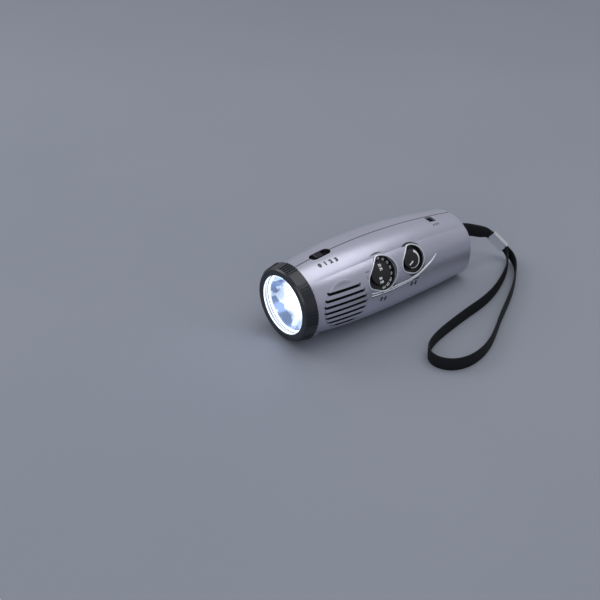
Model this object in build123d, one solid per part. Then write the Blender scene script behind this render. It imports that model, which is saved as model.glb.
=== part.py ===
from build123d import *
import math
import os

# Hand crank flashlight with a radio in its side: two moulded half shells, a ribbed head ring
# with lens and reflector, two dials, a mode switch, a folding crank with its gear train and
# generator, and a wrist strap. Millimetres, +Z up.
#
# While it is modelled, X runs from the head ring's front face to the rear, Z is 0 on the
# lamp's axis and the control side faces -Y. place() then sets the origin on the floor, under
# the middle of the object.

os.makedirs("parts", exist_ok=True)

# ------------------------------------------------------------------ driving dimensions
RUN = 0.05  # radial clearance of a turning shaft in its bore
SEAT = 0.1  # gap between pieces that sit on each other
FREE = 0.4  # gap between moving pieces and their neighbours
FAR = 60.0  # past every wall across the body

# Head ring
HOUSING_R = 24.6  # outside of the lamp housing that carries the ring
RING_WIDTH = 9.8
RING_FRONT_R = HOUSING_R + 3.4
RING_REAR_R = HOUSING_R + 5.1
RING_BEVEL = 1.3
RING_LIP = 1.8
LENS_OPENING_R = HOUSING_R - 2.3
RIB_GROUPS = 8
RIBS_IN_GROUP = 5
RIB_PITCH_DEG = 5.0
RIB_WIDTH = 1.1
RIB_HEIGHT = 0.5
LOCK_TURN_DEG = 35.0

# Lamp
LENS_T = 1.6
GASKET_T = 1.0
GASKET_W = 1.5
HOUSING_WALL = 2.0
NECK_R = HOUSING_R - 1.8
NECK_WALL = 1.4
NECK_FLANGE = 1.6
LUGS = 3
LUG_ARC_DEG = 24.0
LUG_WIDTH = 1.6
LUG_HEIGHT = 1.0
FOCAL_LENGTH = 6.0
REFLECTOR_WALL = 1.2
LED_R = 2.5
LED_LENGTH = 8.6
LED_BOARD_R = 7.5
LED_BOARD_T = 1.6

# Body: one row for each station, (x, half width, top, height of the widest point, bottom,
# fullness of the upper curve, fullness of the lower curve). Fullness 2 is an ellipse.
BODY_START = 10.0
BODY_END = 166.4
PAST_END = BODY_END + 20.0
FRONT_R = HOUSING_R + 2.4  # the body's round front, behind the ring
STATIONS = [
    (BODY_START, FRONT_R, FRONT_R, 0.0, -FRONT_R, 2.0, 2.0),
    (40.0, 31.5, 30.2, -0.4, -27.4, 2.1, 2.4),
    (78.0, 32.6, 30.6, -1.3, -27.6, 2.2, 2.7),
    (122.0, 29.9, 27.0, -3.1, -28.0, 2.25, 2.95),
    (BODY_END, 25.8, 19.7, -5.5, -28.3, 2.3, 3.0),
]
WALL = 2.0
SEAM_GAP = 0.2
SEAM_GROOVE = 0.9
SEAM_GROOVE_DEPTH = 0.6
REAR_ROUND = 2.4
CREASE_AT = 0.43  # place of the shoulder crease along the upper curve, 0 at the top
CREASE_DEPTH = 0.45
CREASE_TURN_DEG = [0.0, 7.0, 9.0, 9.0, 7.0]

# Feet
FLOOR_DROP = RING_REAR_R + 0.3  # from the lamp's axis to the floor
FRONT_FOOT = (11.0, 25.0)
REAR_FOOT = (BODY_END - 20.4, BODY_END - 9.4)
FOOT_HALF_WIDTH = 12.0

# Speaker grille
GRILLE_X = 34.5
GRILLE_Z = 1.5
GRILLE_R = 18.0
GRILLE_RISE = 0.9
GRILLE_SLOTS = 7
GRILLE_PITCH = 4.45
GRILLE_SLOT = 1.9
GRILLE_MIDDLE = 0.2
SPEAKER_R = 17.6
SPEAKER_DEPTH = 13.0
SPEAKER_FRONT_Y = -21.2
MAGNET_R = 7.4
MAGNET_T = 4.0

# Index pips beside the dials, as points on the surface
PIP_R = 1.0
PIPS = [(66.9, -32.3, 0.5), (85.5, -30.1, 10.4)]

# Dials
DIAL_TILT_DEG = 30.0
DIAL_LIP = 0.5
DIAL_LIP_WIDTH = 1.1
WELL_WALL = 1.2
WELL_DEPTH = 2.9
FLANGE_T = 1.0
TUNING_CENTRE = (70.5, -27.3, 13.3)
TUNING_OPENING_R = 12.6
TUNING_CHORD = 9.8
TUNING_KNOB_R = 9.3
TUNING_TURN_DEG = 180.0
VOLUME_CENTRE = (101.3, -26.9, 13.8)
VOLUME_OPENING_R = 10.3
VOLUME_CHORD = 8.4
VOLUME_KNOB_R = 7.9
VOLUME_TURN_DEG = 270.0
KNOB_RISE = 2.4
KNOB_CROWN = 1.2
KNOB_DRAFT = 0.5
CHORD_ANGLE_DEG = 135.0
SHAFT_R = 1.5
CAPACITOR_SIDE = 20.0
POT_R = 8.0
BOARD_DEPTH = 13.6
BOARD_T = 1.6
JACK_X = BODY_END - 26.4  # middle of the charging jack
BOARD_X = (58.0, JACK_X - 14.0)
BOARD_HALF_WIDTH = 15.5
ROD_R = 4.0
ROD_LENGTH = 50.0
COIL_LENGTH = 18.0
COIL_T = 1.0

# Mode switch
SWITCH_X = 34.5
SWITCH_LENGTH = 18.0
SWITCH_WIDTH = 7.6
SWITCH_DEPTH = 2.6
SWITCH_STEP = 3.2
SWITCH_KNOB = (6.4, 5.4)
SWITCH_STEM = (3.0, 2.0)
SWITCH_BODY = (19.0, 8.0, 5.0)
SWITCH_FLOOR = 1.4

# Charging jack
JACK_Y = -4.4
JACK_POCKET = 6.8
JACK_DEPTH = 2.6
JACK_BORE_R = 1.8
JACK_BODY = (8.0, 7.6, 14.0)

# Crank
HUB_X = 122.0
HUB_Z = -4.0
BOSS_R = 11.0
BOSS_Y = 33.0
CRANK_SHAFT_R = 4.0
ARM_T = 5.0
ARM_HUB_R = 10.0
ARM_END_R = 8.6
ARM_REACH = 47.5
ARM_END_Y = 3.8  # how far the ears stand up at the arm's end
KNOB_R = 5.0
KNOB_LENGTH = 21.0
KNOB_NECK = 4.6  # from the fold pin to the knob
SPINDLE_R = 2.0
PIN_R = 1.25
EYE_R = 3.4

# Gear train
MODULE_1 = 0.6
MODULE_2 = 0.5
CRANK_TEETH = 56
PINION_TEETH = 12
WHEEL_TEETH = 44
ROTOR_TEETH = 10
BACKLASH = 0.16
GEAR_LINE_DEG = 160.0
GEAR_T = 3.0
WHEEL_T = 2.4
PLATE_Y = 12.5
PLATE_T = 2.0
AXLE_R = 1.0
AXLE_END = 2.4  # length of the idler's axle in its post
GENERATOR_R = 12.5
GENERATOR_T = 12.0
YOKE_WALL = 1.2
MAGNET_ROTOR_R = 6.0

# Battery
CELL_R = 5.2
CELL_LENGTH = 44.0
CELL_X = 29.0
CELLS = [(2.0, -18.0), (13.0, -17.0), (8.2, -7.6)]
SLEEVE_T = 0.5

# Case screws, as (x, z)
SCREWS = [(20.0, -19.5), (54.0, 21.0), (84.0, -22.0), (130.0, 16.5), (REAR_FOOT[0] + 4.0, -21.0)]
SCREW_R = 1.25
SCREW_HEAD_R = 2.6
SCREW_POST_R = 3.3
SCREW_TIP_Y = -5.5

# Strap
STRAP_WIDTH = 10.0
STRAP_T = 1.2
STRAP_PIN_R = 1.5
STRAP_PIN_IN = 6.0  # from the rear face to the pin
STRAP_Z = 1.5
POCKET_HALF_WIDTH = 3.8
POCKET_HALF_HEIGHT = 5.8
POCKET_DEPTH = 12.0
POCKET_WALL = 1.6
FERRULE_SECTION = (4.5, 8.5)
FERRULE_WALL = 0.5

# ------------------------------------------------------------------ helpers


def rod_x(y, z, radius, x0, x1):
    plane = Plane(origin=(x0, y, z), x_dir=(0, 1, 0), z_dir=(1, 0, 0))
    return extrude(plane * Circle(radius), x1 - x0)


def rod_y(x, z, radius, y0, y1):
    plane = Plane(origin=(x, y0, z), x_dir=(1, 0, 0), z_dir=(0, 1, 0))
    return extrude(plane * Circle(radius), y1 - y0)


def rod_z(x, y, radius, z0, z1):
    plane = Plane(origin=(x, y, z0), x_dir=(1, 0, 0), z_dir=(0, 0, 1))
    return extrude(plane * Circle(radius), z1 - z0)


def block(x0, x1, y0, y1, z0, z1):
    centre = ((x0 + x1) / 2, (y0 + y1) / 2, (z0 + z1) / 2)
    return Pos(*centre) * Box(x1 - x0, y1 - y0, z1 - z0)


def side_plate(sketch, y0, y1):
    """A sketch in (x, z), extruded along Y from y0 to y1."""
    plane = Plane(origin=(0, y0, 0), x_dir=(1, 0, 0), z_dir=(0, -1, 0))
    return extrude(plane * sketch, -(y1 - y0))


def turned(points):
    """A ring turned about the X axis from a closed outline of (x, radius) points."""
    outline = Polyline([(x, radius, 0) for x, radius in points], close=True)
    return revolve(make_face(outline), Axis.X, 360)


def around_x(shape, count, step_deg=None, start_deg=0.0):
    step = 360.0 / count if step_deg is None else step_deg
    return [shape.rotate(Axis.X, start_deg + step * i) for i in range(count)]


def blend(values, x):
    """A station value at x, on straight lines between the stations."""
    for (x0, v0), (x1, v1) in zip(values, values[1:]):
        if x <= x1:
            return v0 + (v1 - v0) * (x - x0) / (x1 - x0)
    return values[-1][1]


def top_at(x):
    return blend([(s[0], s[2]) for s in STATIONS], x)


# ------------------------------------------------------------------ body form


def handle(fullness):
    """Length of a curve's handle, as a share, for a quarter of this fullness."""
    return (8 * 2 ** (-1 / fullness) - 4) / 3


def split_curve(points, share):
    """The control points of a cubic curve's two halves."""
    rows = [[Vector(*p) for p in points]]
    while len(rows[-1]) > 1:
        row = rows[-1]
        rows.append([a + (b - a) * share for a, b in zip(row, row[1:])])
    return [row[0] for row in rows], [row[-1] for row in reversed(rows)]


def turn_in_section(vector, degrees):
    return vector.rotate(Axis.X, degrees)


def upper_curves(x, half_width, top, middle, fullness, turn_deg):
    """The crown and the shoulder on the +Y side, with the crease between them."""
    k = handle(fullness)
    points = [
        (x, 0, top),
        (x, k * half_width, top),
        (x, half_width, middle + k * (top - middle)),
        (x, half_width, middle),
    ]
    crown, side = split_curve(points, CREASE_AT)
    if turn_deg is None:
        return crown, side
    tangent = (side[1] - side[0]).normalized()
    inward = Vector(0, tangent.Z, -tangent.Y) * (CREASE_DEPTH * turn_deg / max(CREASE_TURN_DEG))
    crease = crown[3] + inward
    crown[2] = crease + turn_in_section(crown[2] - crown[3], -turn_deg)
    side[1] = crease + turn_in_section(side[1] - side[0], turn_deg)
    crown[3] = crease
    side[0] = crease
    return crown, side


def lower_curve(x, half_width, middle, bottom, fullness):
    k = handle(fullness)
    return [
        Vector(x, half_width, middle),
        Vector(x, half_width, middle + k * (bottom - middle)),
        Vector(x, k * half_width, bottom),
        Vector(x, 0, bottom),
    ]


def mirrored(points):
    return [Vector(p.X, -p.Y, p.Z) for p in reversed(points)]


def body_section(station, grow, turn_deg):
    x, half_width, top, middle, bottom, upper, lower = station
    right = list(
        upper_curves(x, half_width + grow, top + grow, middle, upper, turn_deg)
    )
    right.append(lower_curve(x, half_width + grow, middle, bottom - grow, lower))
    left = [mirrored(points) for points in reversed(right)]
    return make_face([Bezier(*points) for points in right + left])


def body_form(grow=0.0, creased=True, start=None, end=None):
    """The body's outside, or an even offset of it."""
    sections = []
    for station, turn_deg in zip(STATIONS, CREASE_TURN_DEG):
        sections.append(body_section(station, grow, turn_deg if creased else None))
    form = loft(sections)
    if start is not None:
        form &= block(start, end, -FAR, FAR, -FAR, FAR)
    return form


def rounded_body():
    form = body_form()
    rear = [e for e in form.edges() if abs(e.center().X - BODY_END) < 0.01]
    return fillet(rear, REAR_ROUND)


# ------------------------------------------------------------------ dial geometry

TILT = math.radians(DIAL_TILT_DEG)
DIAL_OUT = Vector(0, -math.cos(TILT), math.sin(TILT))


def dial_plane(centre, depth=0.0):
    """The dial's plane, its normal pointing out of the body, sunk by a depth."""
    origin = Vector(*centre) - DIAL_OUT * depth
    return Plane(origin=origin, x_dir=(1, 0, 0), z_dir=DIAL_OUT)


def dial_opening(radius, chord, grow=0.0):
    """A circle drawn out to a corner at the lower left and cut by a chord at the upper left."""
    angle = math.radians(CHORD_ANGLE_DEG)
    corner_r = 0.42 * radius
    corner = Pos(-0.74 * radius, -0.3 * radius) * Circle(corner_r + grow)
    outline = make_hull((Circle(radius + grow) + corner).edges())
    size = 3 * radius
    cut = Rectangle(size, size, align=(Align.MIN, Align.CENTER))
    cut = Pos((chord + grow) * math.cos(angle), (chord + grow) * math.sin(angle)) * (
        Rot(0, 0, CHORD_ANGLE_DEG) * cut
    )
    return outline - cut


def flange_radius(opening_radius):
    return 1.19 * opening_radius


def dial_shape(centre, opening_radius, knob_radius):
    """A flat flange under the shell and a crowned knob that stands up in the well."""
    top_of_flange = -(WELL_DEPTH + SEAT + 0.2)
    bottom = top_of_flange - FLANGE_T
    edge = top_of_flange + KNOB_RISE
    outer = flange_radius(opening_radius)
    hub_r = SHAFT_R + 1.6
    hub_bottom = bottom - 0.6
    half = Polyline(
        [
            (0, hub_bottom),
            (hub_r, hub_bottom),
            (hub_r, bottom),
            (outer, bottom),
            (outer, top_of_flange),
            (knob_radius, top_of_flange),
            (knob_radius - KNOB_DRAFT, edge),
        ]
    )
    crown_r = knob_radius - KNOB_DRAFT
    ball = (crown_r**2 + KNOB_CROWN**2) / (2 * KNOB_CROWN)
    middle_drop = ball - math.sqrt(ball**2 - (crown_r / 2) ** 2)
    crown = ThreePointArc(
        (crown_r, edge),
        (crown_r / 2, edge + KNOB_CROWN - middle_drop),
        (0, edge + KNOB_CROWN),
    )
    axis = Line((0, edge + KNOB_CROWN), (0, hub_bottom))
    profile = Plane.XZ * make_face(half + crown + axis)
    shape = revolve(profile, Axis.Z, 360)
    bore = Pos(0, 0, hub_bottom) * Cylinder(
        SHAFT_R + RUN, 2 * (FLANGE_T + 0.6), align=(Align.CENTER, Align.CENTER, Align.CENTER)
    )
    return dial_plane(centre).location * (shape - bore)


# ------------------------------------------------------------------ shells


def screw_seat_y(x, z):
    """Y of the body's surface over a screw, less the depth of its counterbore."""
    rows = []
    for sx, half_width, top, middle, bottom, upper, lower in STATIONS:
        if z >= middle:
            share = (z - middle) / (top - middle)
            rows.append((sx, half_width * (1 - share**upper) ** (1 / upper)))
        else:
            share = (middle - z) / (middle - bottom)
            rows.append((sx, half_width * (1 - share**lower) ** (1 / lower)))
    return blend(rows, x) - 5.0


def feet():
    """Two cradle feet under the body, later split by the seam."""
    shapes = []
    for x0, x1 in (FRONT_FOOT, REAR_FOOT):
        foot = block(x0, x1, -FOOT_HALF_WIDTH, FOOT_HALF_WIDTH, -FLOOR_DROP, -10)
        foot = chamfer(foot.edges().filter_by(Axis.X).group_by(Axis.Z)[0], 1.2)
        shapes.append(foot)
    return shapes


def bulkhead():
    """The wall behind the head ring, with the groove that holds the lamp housing's flange."""
    neck = NECK_R
    groove = neck + NECK_FLANGE
    x0 = BODY_START
    return turned(
        [
            (x0, neck + SEAT),
            (x0 + 1.1, neck + SEAT),
            (x0 + 1.1, groove + SEAT),
            (x0 + 2.5, groove + SEAT),
            (x0 + 2.5, neck + SEAT),
            (x0 + 3.6, neck + SEAT),
            (x0 + 3.6, HOUSING_R + 1.6),
            (x0, HOUSING_R + 1.6),
        ]
    )


def slot_shape(length, width):
    return SlotOverall(length, width)


def switch_pocket(grow, z0, z1):
    plane = Plane(origin=(SWITCH_X, 0, z0), x_dir=(1, 0, 0), z_dir=(0, 0, 1))
    sketch = slot_shape(SWITCH_LENGTH + 2 * grow, SWITCH_WIDTH + 2 * grow)
    return extrude(plane * sketch, z1 - z0)


def strap_box(grow, depth):
    return block(
        BODY_END - depth,
        BODY_END + 5,
        -(POCKET_HALF_WIDTH + grow),
        POCKET_HALF_WIDTH + grow,
        STRAP_Z - POCKET_HALF_HEIGHT - grow,
        STRAP_Z + POCKET_HALF_HEIGHT + grow,
    )


def shell_halves(outer, cavity):
    """The two half shells with everything moulded into both of them."""
    switch_floor_z = top_at(SWITCH_X) - SWITCH_DEPTH
    shell = outer - cavity
    shell += bulkhead() & outer
    pocket = switch_pocket(WALL, switch_floor_z - SWITCH_FLOOR, FAR) & outer
    shell += pocket
    shell += strap_box(POCKET_WALL, POCKET_DEPTH + POCKET_WALL) & outer
    for foot in feet():
        shell += foot - cavity
    for x, z in SCREWS:
        shell += rod_y(x, z, SCREW_POST_R, -FAR, FAR) & cavity
    shell -= switch_pocket(0, switch_floor_z, FAR)
    travel = 3 * SWITCH_STEP
    stem_slot = slot_shape(
        SWITCH_STEM[0] + travel + 2 * FREE, SWITCH_STEM[1] + 2 * FREE
    )
    plane = Plane(origin=(SWITCH_X, 0, 0), x_dir=(1, 0, 0), z_dir=(0, 0, 1))
    shell -= extrude(plane * stem_slot, FAR)
    shell -= strap_box(0, POCKET_DEPTH)
    pin_x = BODY_END - STRAP_PIN_IN
    pin_half = POCKET_HALF_HEIGHT + POCKET_WALL
    shell -= rod_z(
        pin_x, 0, STRAP_PIN_R + RUN, STRAP_Z - pin_half - 1, STRAP_Z + pin_half + 1
    )
    groove = block(BODY_START, PAST_END, -SEAM_GROOVE / 2, SEAM_GROOVE / 2, -FAR, FAR)
    shell -= groove - body_form(grow=-SEAM_GROOVE_DEPTH, creased=False)
    half_gap = SEAM_GAP / 2
    control = shell & block(-5, PAST_END, -FAR, -half_gap, -FAR, FAR)
    crank = shell & block(-5, PAST_END, half_gap, FAR, -FAR, FAR)
    return control, crank


def control_shell(half, outer, cavity):
    # speaker grille: a raised disc cut into bars
    disc = rod_y(GRILLE_X, GRILLE_Z, GRILLE_R, -FAR, -10)
    raised = body_form(grow=GRILLE_RISE, creased=False)
    half += (raised & disc) - cavity
    for i in range(GRILLE_SLOTS):
        z = GRILLE_MIDDLE + GRILLE_PITCH * (i - (GRILLE_SLOTS - 1) / 2)
        reach = math.sqrt((GRILLE_R + 0.5) ** 2 - (z - GRILLE_Z) ** 2)
        half -= block(
            GRILLE_X - reach,
            GRILLE_X + reach,
            -FAR,
            -15,
            z - GRILLE_SLOT / 2,
            z + GRILLE_SLOT / 2,
        )
    # dial wells
    lipped = body_form(grow=DIAL_LIP, creased=False)
    for centre, radius, chord in (
        (TUNING_CENTRE, TUNING_OPENING_R, TUNING_CHORD),
        (VOLUME_CENTRE, VOLUME_OPENING_R, VOLUME_CHORD),
    ):
        plane = dial_plane(centre, WELL_DEPTH)
        well = extrude(plane * dial_opening(radius, chord, WELL_WALL), 20)
        half += well & outer
        lip = extrude(plane * dial_opening(radius, chord, DIAL_LIP_WIDTH), 20)
        half += (lip & lipped) - cavity
        half -= extrude(plane * dial_opening(radius, chord), 20)
        flange_room = Circle(flange_radius(radius) + FREE)
        half -= extrude(plane * flange_room, -20)
    for pip in PIPS:
        half += Pos(*pip) * Sphere(PIP_R)
    # posts that carry the circuit board
    for x, across in ((86.6, -13.0), (119.0, -11.0), (119.0, 9.0)):
        plane = dial_plane(TUNING_CENTRE, BOARD_DEPTH - SEAT)
        place_at = Pos(x - TUNING_CENTRE[0], across)
        half += extrude(plane * (place_at * Circle(2.4)), 30) & cavity
    # charging jack pocket
    top = top_at(JACK_X)
    floor_z = top - JACK_DEPTH
    side = JACK_POCKET / 2
    half += (
        block(
            JACK_X - side - WALL,
            JACK_X + side + WALL,
            JACK_Y - side - WALL,
            -SEAM_GAP / 2,
            floor_z - 1.2,
            FAR,
        )
        & outer
    )
    half -= block(
        JACK_X - side, JACK_X + side, JACK_Y - side, JACK_Y + side, floor_z, FAR
    )
    half -= rod_z(JACK_X, JACK_Y, JACK_BORE_R + 0.3, floor_z - 5, FAR)
    # blind pilot holes for the case screws
    for x, z in SCREWS:
        half -= rod_y(x, z, SCREW_R + RUN, SCREW_TIP_Y - 0.5, 10)
    return half


def crank_shell(half, outer, cavity):
    # crank boss and its bearing
    half += rod_y(HUB_X, HUB_Z, BOSS_R, PLATE_Y, BOSS_Y) - cavity
    half += rod_y(HUB_X, HUB_Z, BOSS_R - 3, BOSS_IN_Y, BOSS_Y)
    half -= rod_y(HUB_X, HUB_Z, CRANK_SHAFT_R + RUN, 0, FAR)
    # posts for the gear plate and the idler's axle
    for x, z in PLATE_POSTS:
        half += rod_y(x, z, 2.6, PLATE_Y + PLATE_T + SEAT, FAR) & cavity
    idler_x, idler_z = IDLER
    half += rod_y(idler_x, idler_z, 2.4, BOSS_IN_Y, FAR) & cavity
    half -= rod_y(idler_x, idler_z, AXLE_R + RUN, 0, BOSS_IN_Y + AXLE_END + SEAT)
    # cradle ribs under the battery
    hull = battery_outline(SLEEVE_T + 0.2)
    sleeve = extrude(Plane(origin=(0, 0, 0), x_dir=(0, 1, 0), z_dir=(1, 0, 0)) * hull, 120)
    for x in (CELL_X + 8, CELL_X + CELL_LENGTH - 8):
        rib = block(x - 0.8, x + 0.8, SEAM_GAP / 2, 40, -40, -10.5)
        half += (rib & cavity) - sleeve
    # counterbores for the case screws
    for x, z in SCREWS:
        seat_y = screw_seat_y(x, z)
        half -= rod_y(x, z, SCREW_HEAD_R + 0.3, seat_y, FAR)
        half -= rod_y(x, z, SCREW_R + 0.2, -1, FAR)
    return half


# ------------------------------------------------------------------ lamp


def head_ring():
    inner = HOUSING_R + 0.3
    lens_seat = RING_LIP
    ring = turned(
        [
            (0, LENS_OPENING_R + 0.6),
            (0, RING_FRONT_R - RING_BEVEL),
            (RING_BEVEL, RING_FRONT_R - RIB_HEIGHT + 0.2),
            (RING_WIDTH, RING_REAR_R - RIB_HEIGHT),
            (RING_WIDTH, inner),
            (lens_seat, inner),
            (lens_seat, LENS_OPENING_R),
            (0.6, LENS_OPENING_R),
        ]
    )
    # grip ribs in groups, standing on the cone
    slope = math.degrees(math.atan2(RING_REAR_R - RING_FRONT_R, RING_WIDTH - RING_BEVEL))
    rib = Pos((RING_BEVEL + RING_WIDTH) / 2, 0, 0) * Box(
        RING_WIDTH - RING_BEVEL, RIB_WIDTH, 2 * RIB_HEIGHT
    )
    middle_r = (RING_FRONT_R + RING_REAR_R) / 2 - RIB_HEIGHT
    rib = Pos(0, 0, middle_r) * rib.rotate(
        Axis((RING_WIDTH / 2, 0, 0), (0, 1, 0)), -slope
    )
    rib &= block(RING_BEVEL, RING_WIDTH, -5, 5, 0, FAR)
    ribs = []
    for group in range(RIB_GROUPS):
        start = group * 360 / RIB_GROUPS - RIB_PITCH_DEG * (RIBS_IN_GROUP - 1) / 2
        ribs += around_x(rib, RIBS_IN_GROUP, RIB_PITCH_DEG, start)
    ring += ribs
    # lock grooves: each lug enters from behind and turns behind a wall
    lug_x = lug_place()
    half_arc = LUG_ARC_DEG / 2 + 1.5
    groove_r = HOUSING_R + LUG_HEIGHT + 0.3
    for i in range(LUGS):
        middle = 360.0 / LUGS * i
        ring -= arc_block(
            lug_x - 0.3,
            lug_x + LUG_WIDTH + 0.3,
            inner - 1,
            groove_r,
            middle - half_arc - LOCK_TURN_DEG,
            middle + half_arc,
        )
        ring -= arc_block(
            lug_x,
            RING_WIDTH + 1,
            inner - 1,
            groove_r,
            middle - half_arc - LOCK_TURN_DEG,
            middle + half_arc - LOCK_TURN_DEG,
        )
    return ring


def lug_place():
    return RING_WIDTH - 1.8 - LUG_WIDTH


def arc_block(x0, x1, r0, r1, start_deg, end_deg):
    """Part of a ring about the X axis, from one angle to another."""
    outline = Polyline([(x0, r0, 0), (x1, r0, 0), (x1, r1, 0), (x0, r1, 0)], close=True)
    part = revolve(make_face(outline), Axis.X, end_deg - start_deg)
    return part.rotate(Axis.X, start_deg)


def lens_x():
    return RING_LIP + SEAT


def gasket_x():
    return lens_x() + LENS_T + 0.15


def housing_x():
    return gasket_x() + GASKET_T + 0.02


def lens():
    edge_r = HOUSING_R + 0.1
    x0, x1 = lens_x(), lens_x() + LENS_T
    disc = turned([(x0, 0), (x0, edge_r), (x1, edge_r), (x1, 0)])
    return chamfer(disc.edges().filter_by(GeomType.CIRCLE), 0.25)


def lens_gasket():
    x0, x1 = gasket_x(), gasket_x() + GASKET_T
    outer = HOUSING_R - 0.1
    return turned([(x0, outer - GASKET_W), (x0, outer), (x1, outer), (x1, outer - GASKET_W)])


def lamp_housing():
    inner = HOUSING_R - HOUSING_WALL
    neck = NECK_R
    neck_inner = neck - NECK_WALL
    flange = neck + NECK_FLANGE
    x0 = housing_x()
    back = BODY_START - SEAT
    housing = turned(
        [
            (x0, inner),
            (x0, HOUSING_R),
            (back, HOUSING_R),
            (back, neck),
            (BODY_START + 1.1 + SEAT, neck),
            (BODY_START + 1.1 + SEAT, flange),
            (BODY_START + 2.5 - SEAT, flange),
            (BODY_START + 2.5 - SEAT, neck),
            (BODY_START + 4.0, neck),
            (BODY_START + 4.0, neck_inner),
            (back - 1.6, neck_inner),
            (back - 1.6, inner),
        ]
    )
    lug_x = lug_place()
    for i in range(LUGS):
        middle = 360.0 / LUGS * i
        housing += arc_block(
            lug_x,
            lug_x + LUG_WIDTH,
            HOUSING_R - 1,
            HOUSING_R + LUG_HEIGHT,
            middle - LUG_ARC_DEG / 2,
            middle + LUG_ARC_DEG / 2,
        )
    return housing


def reflector_rim_x():
    return housing_x() + 0.2


def reflector_vertex_x():
    rim_r = HOUSING_R - HOUSING_WALL - 0.9
    return reflector_rim_x() + rim_r**2 / (4 * FOCAL_LENGTH)


def reflector():
    """A parabolic dish with a flat rim and a short neck for the lamp."""
    rim_x = reflector_rim_x()
    vertex = reflector_vertex_x()
    rim_r = HOUSING_R - HOUSING_WALL - 0.9
    hole_r = LED_R + 0.5
    hole_x = vertex - hole_r**2 / (4 * FOCAL_LENGTH)

    def dish(x):
        return math.sqrt(4 * FOCAL_LENGTH * (vertex - x))

    steps = 5
    xs = [rim_x + (hole_x - rim_x) * (i / steps) for i in range(steps + 1)]
    inside = [(x, dish(x)) for x in xs]
    outside = [(x + 0.4, dish(x) + REFLECTOR_WALL) for x in xs]
    outside[0] = (rim_x + 1.0, rim_r + 0.4)
    inner_curve = Spline([(x, r, 0) for x, r in inside])
    outer_curve = Spline([(x, r, 0) for x, r in outside])
    edge = Polyline(
        [
            (inside[0][0], inside[0][1], 0),
            (rim_x, rim_r + 0.75, 0),
            (rim_x + 1.0, rim_r + 0.75, 0),
            (outside[0][0], outside[0][1], 0),
        ]
    )
    back_x = reflector_back_x()
    neck = Polyline(
        [
            (outside[-1][0], outside[-1][1], 0),
            (back_x, outside[-1][1], 0),
            (back_x, hole_r, 0),
            (hole_x, hole_r, 0),
        ]
    )
    profile = make_face(inner_curve + edge + outer_curve + neck)
    return revolve(profile, Axis.X, 360)


def reflector_back_x():
    return reflector_vertex_x() + 1.6


def led_lamp():
    back = reflector_back_x() + SEAT
    tip = back - LED_LENGTH
    body = rod_x(0, 0, LED_R, tip + LED_R, back)
    dome = Pos(tip + LED_R, 0, 0) * Sphere(LED_R)
    return body + dome


def led_board():
    x0 = reflector_back_x() + 2 * SEAT
    return rod_x(0, 0, LED_BOARD_R, x0, x0 + LED_BOARD_T)


# ------------------------------------------------------------------ radio


def speaker_basket():
    y = SPEAKER_FRONT_Y
    back_r = MAGNET_R + 0.6
    points = [
        (SPEAKER_R, 0),
        (SPEAKER_R, 2.0),
        (SPEAKER_R - 2.2, 2.0),
        (back_r, SPEAKER_DEPTH - MAGNET_T),
        (0, SPEAKER_DEPTH - MAGNET_T),
        (0, SPEAKER_DEPTH - MAGNET_T - 1.0),
        (back_r - 0.8, SPEAKER_DEPTH - MAGNET_T - 1.0),
        (SPEAKER_R - 3.2, 1.2),
        (SPEAKER_R - 1.6, 0),
    ]
    profile = make_face(Polyline([(r, 0, d) for r, d in points], close=True))
    shape = revolve(profile, Axis.Z, 360)
    plane = Plane(origin=(GRILLE_X, y, GRILLE_Z), x_dir=(1, 0, 0), z_dir=(0, 1, 0))
    return plane.location * shape


def speaker_cone():
    outer = SPEAKER_R - 3.6
    depth = SPEAKER_DEPTH - MAGNET_T - 1.6
    points = [
        (outer, 0.6),
        (outer, 1.2),
        (6.4, depth),
        (0, depth),
        (0, depth - 2.6),
        (3.4, depth - 1.8),
        (6.0, depth - 0.8),
    ]
    profile = make_face(Polyline([(r, 0, d) for r, d in points], close=True))
    shape = revolve(profile, Axis.Z, 360)
    plane = Plane(
        origin=(GRILLE_X, SPEAKER_FRONT_Y, GRILLE_Z), x_dir=(1, 0, 0), z_dir=(0, 1, 0)
    )
    return plane.location * shape


def speaker_magnet():
    y0 = SPEAKER_FRONT_Y + SPEAKER_DEPTH - MAGNET_T + SEAT
    return rod_y(GRILLE_X, GRILLE_Z, MAGNET_R, y0, y0 + MAGNET_T)


def flange_underside():
    return WELL_DEPTH + SEAT + 0.2 + FLANGE_T + 0.6


def tuning_capacitor():
    top = flange_underside() + 0.4
    body_plane = dial_plane(TUNING_CENTRE, BOARD_DEPTH - SEAT)
    height = BOARD_DEPTH - SEAT - top
    square = Rectangle(CAPACITOR_SIDE, CAPACITOR_SIDE)
    body = extrude(body_plane * square, height)
    shaft = extrude(
        dial_plane(TUNING_CENTRE, BOARD_DEPTH - 1) * Circle(SHAFT_R),
        BOARD_DEPTH - 1 - (WELL_DEPTH + SEAT + 0.2) - 0.2,
    )
    return body + shaft


def volume_pot():
    top = flange_underside() + 0.4
    depth = volume_board_depth() - SEAT
    body = extrude(dial_plane(VOLUME_CENTRE, depth) * Circle(POT_R), depth - top)
    shaft = extrude(
        dial_plane(VOLUME_CENTRE, depth - 1) * Circle(SHAFT_R),
        depth - 1 - (WELL_DEPTH + SEAT + 0.2) - 0.2,
    )
    return body + shaft


def volume_board_depth():
    """Depth of the board under the volume dial, which has its own place."""
    offset = (Vector(*VOLUME_CENTRE) - Vector(*TUNING_CENTRE)).dot(DIAL_OUT)
    return BOARD_DEPTH + offset


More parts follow.
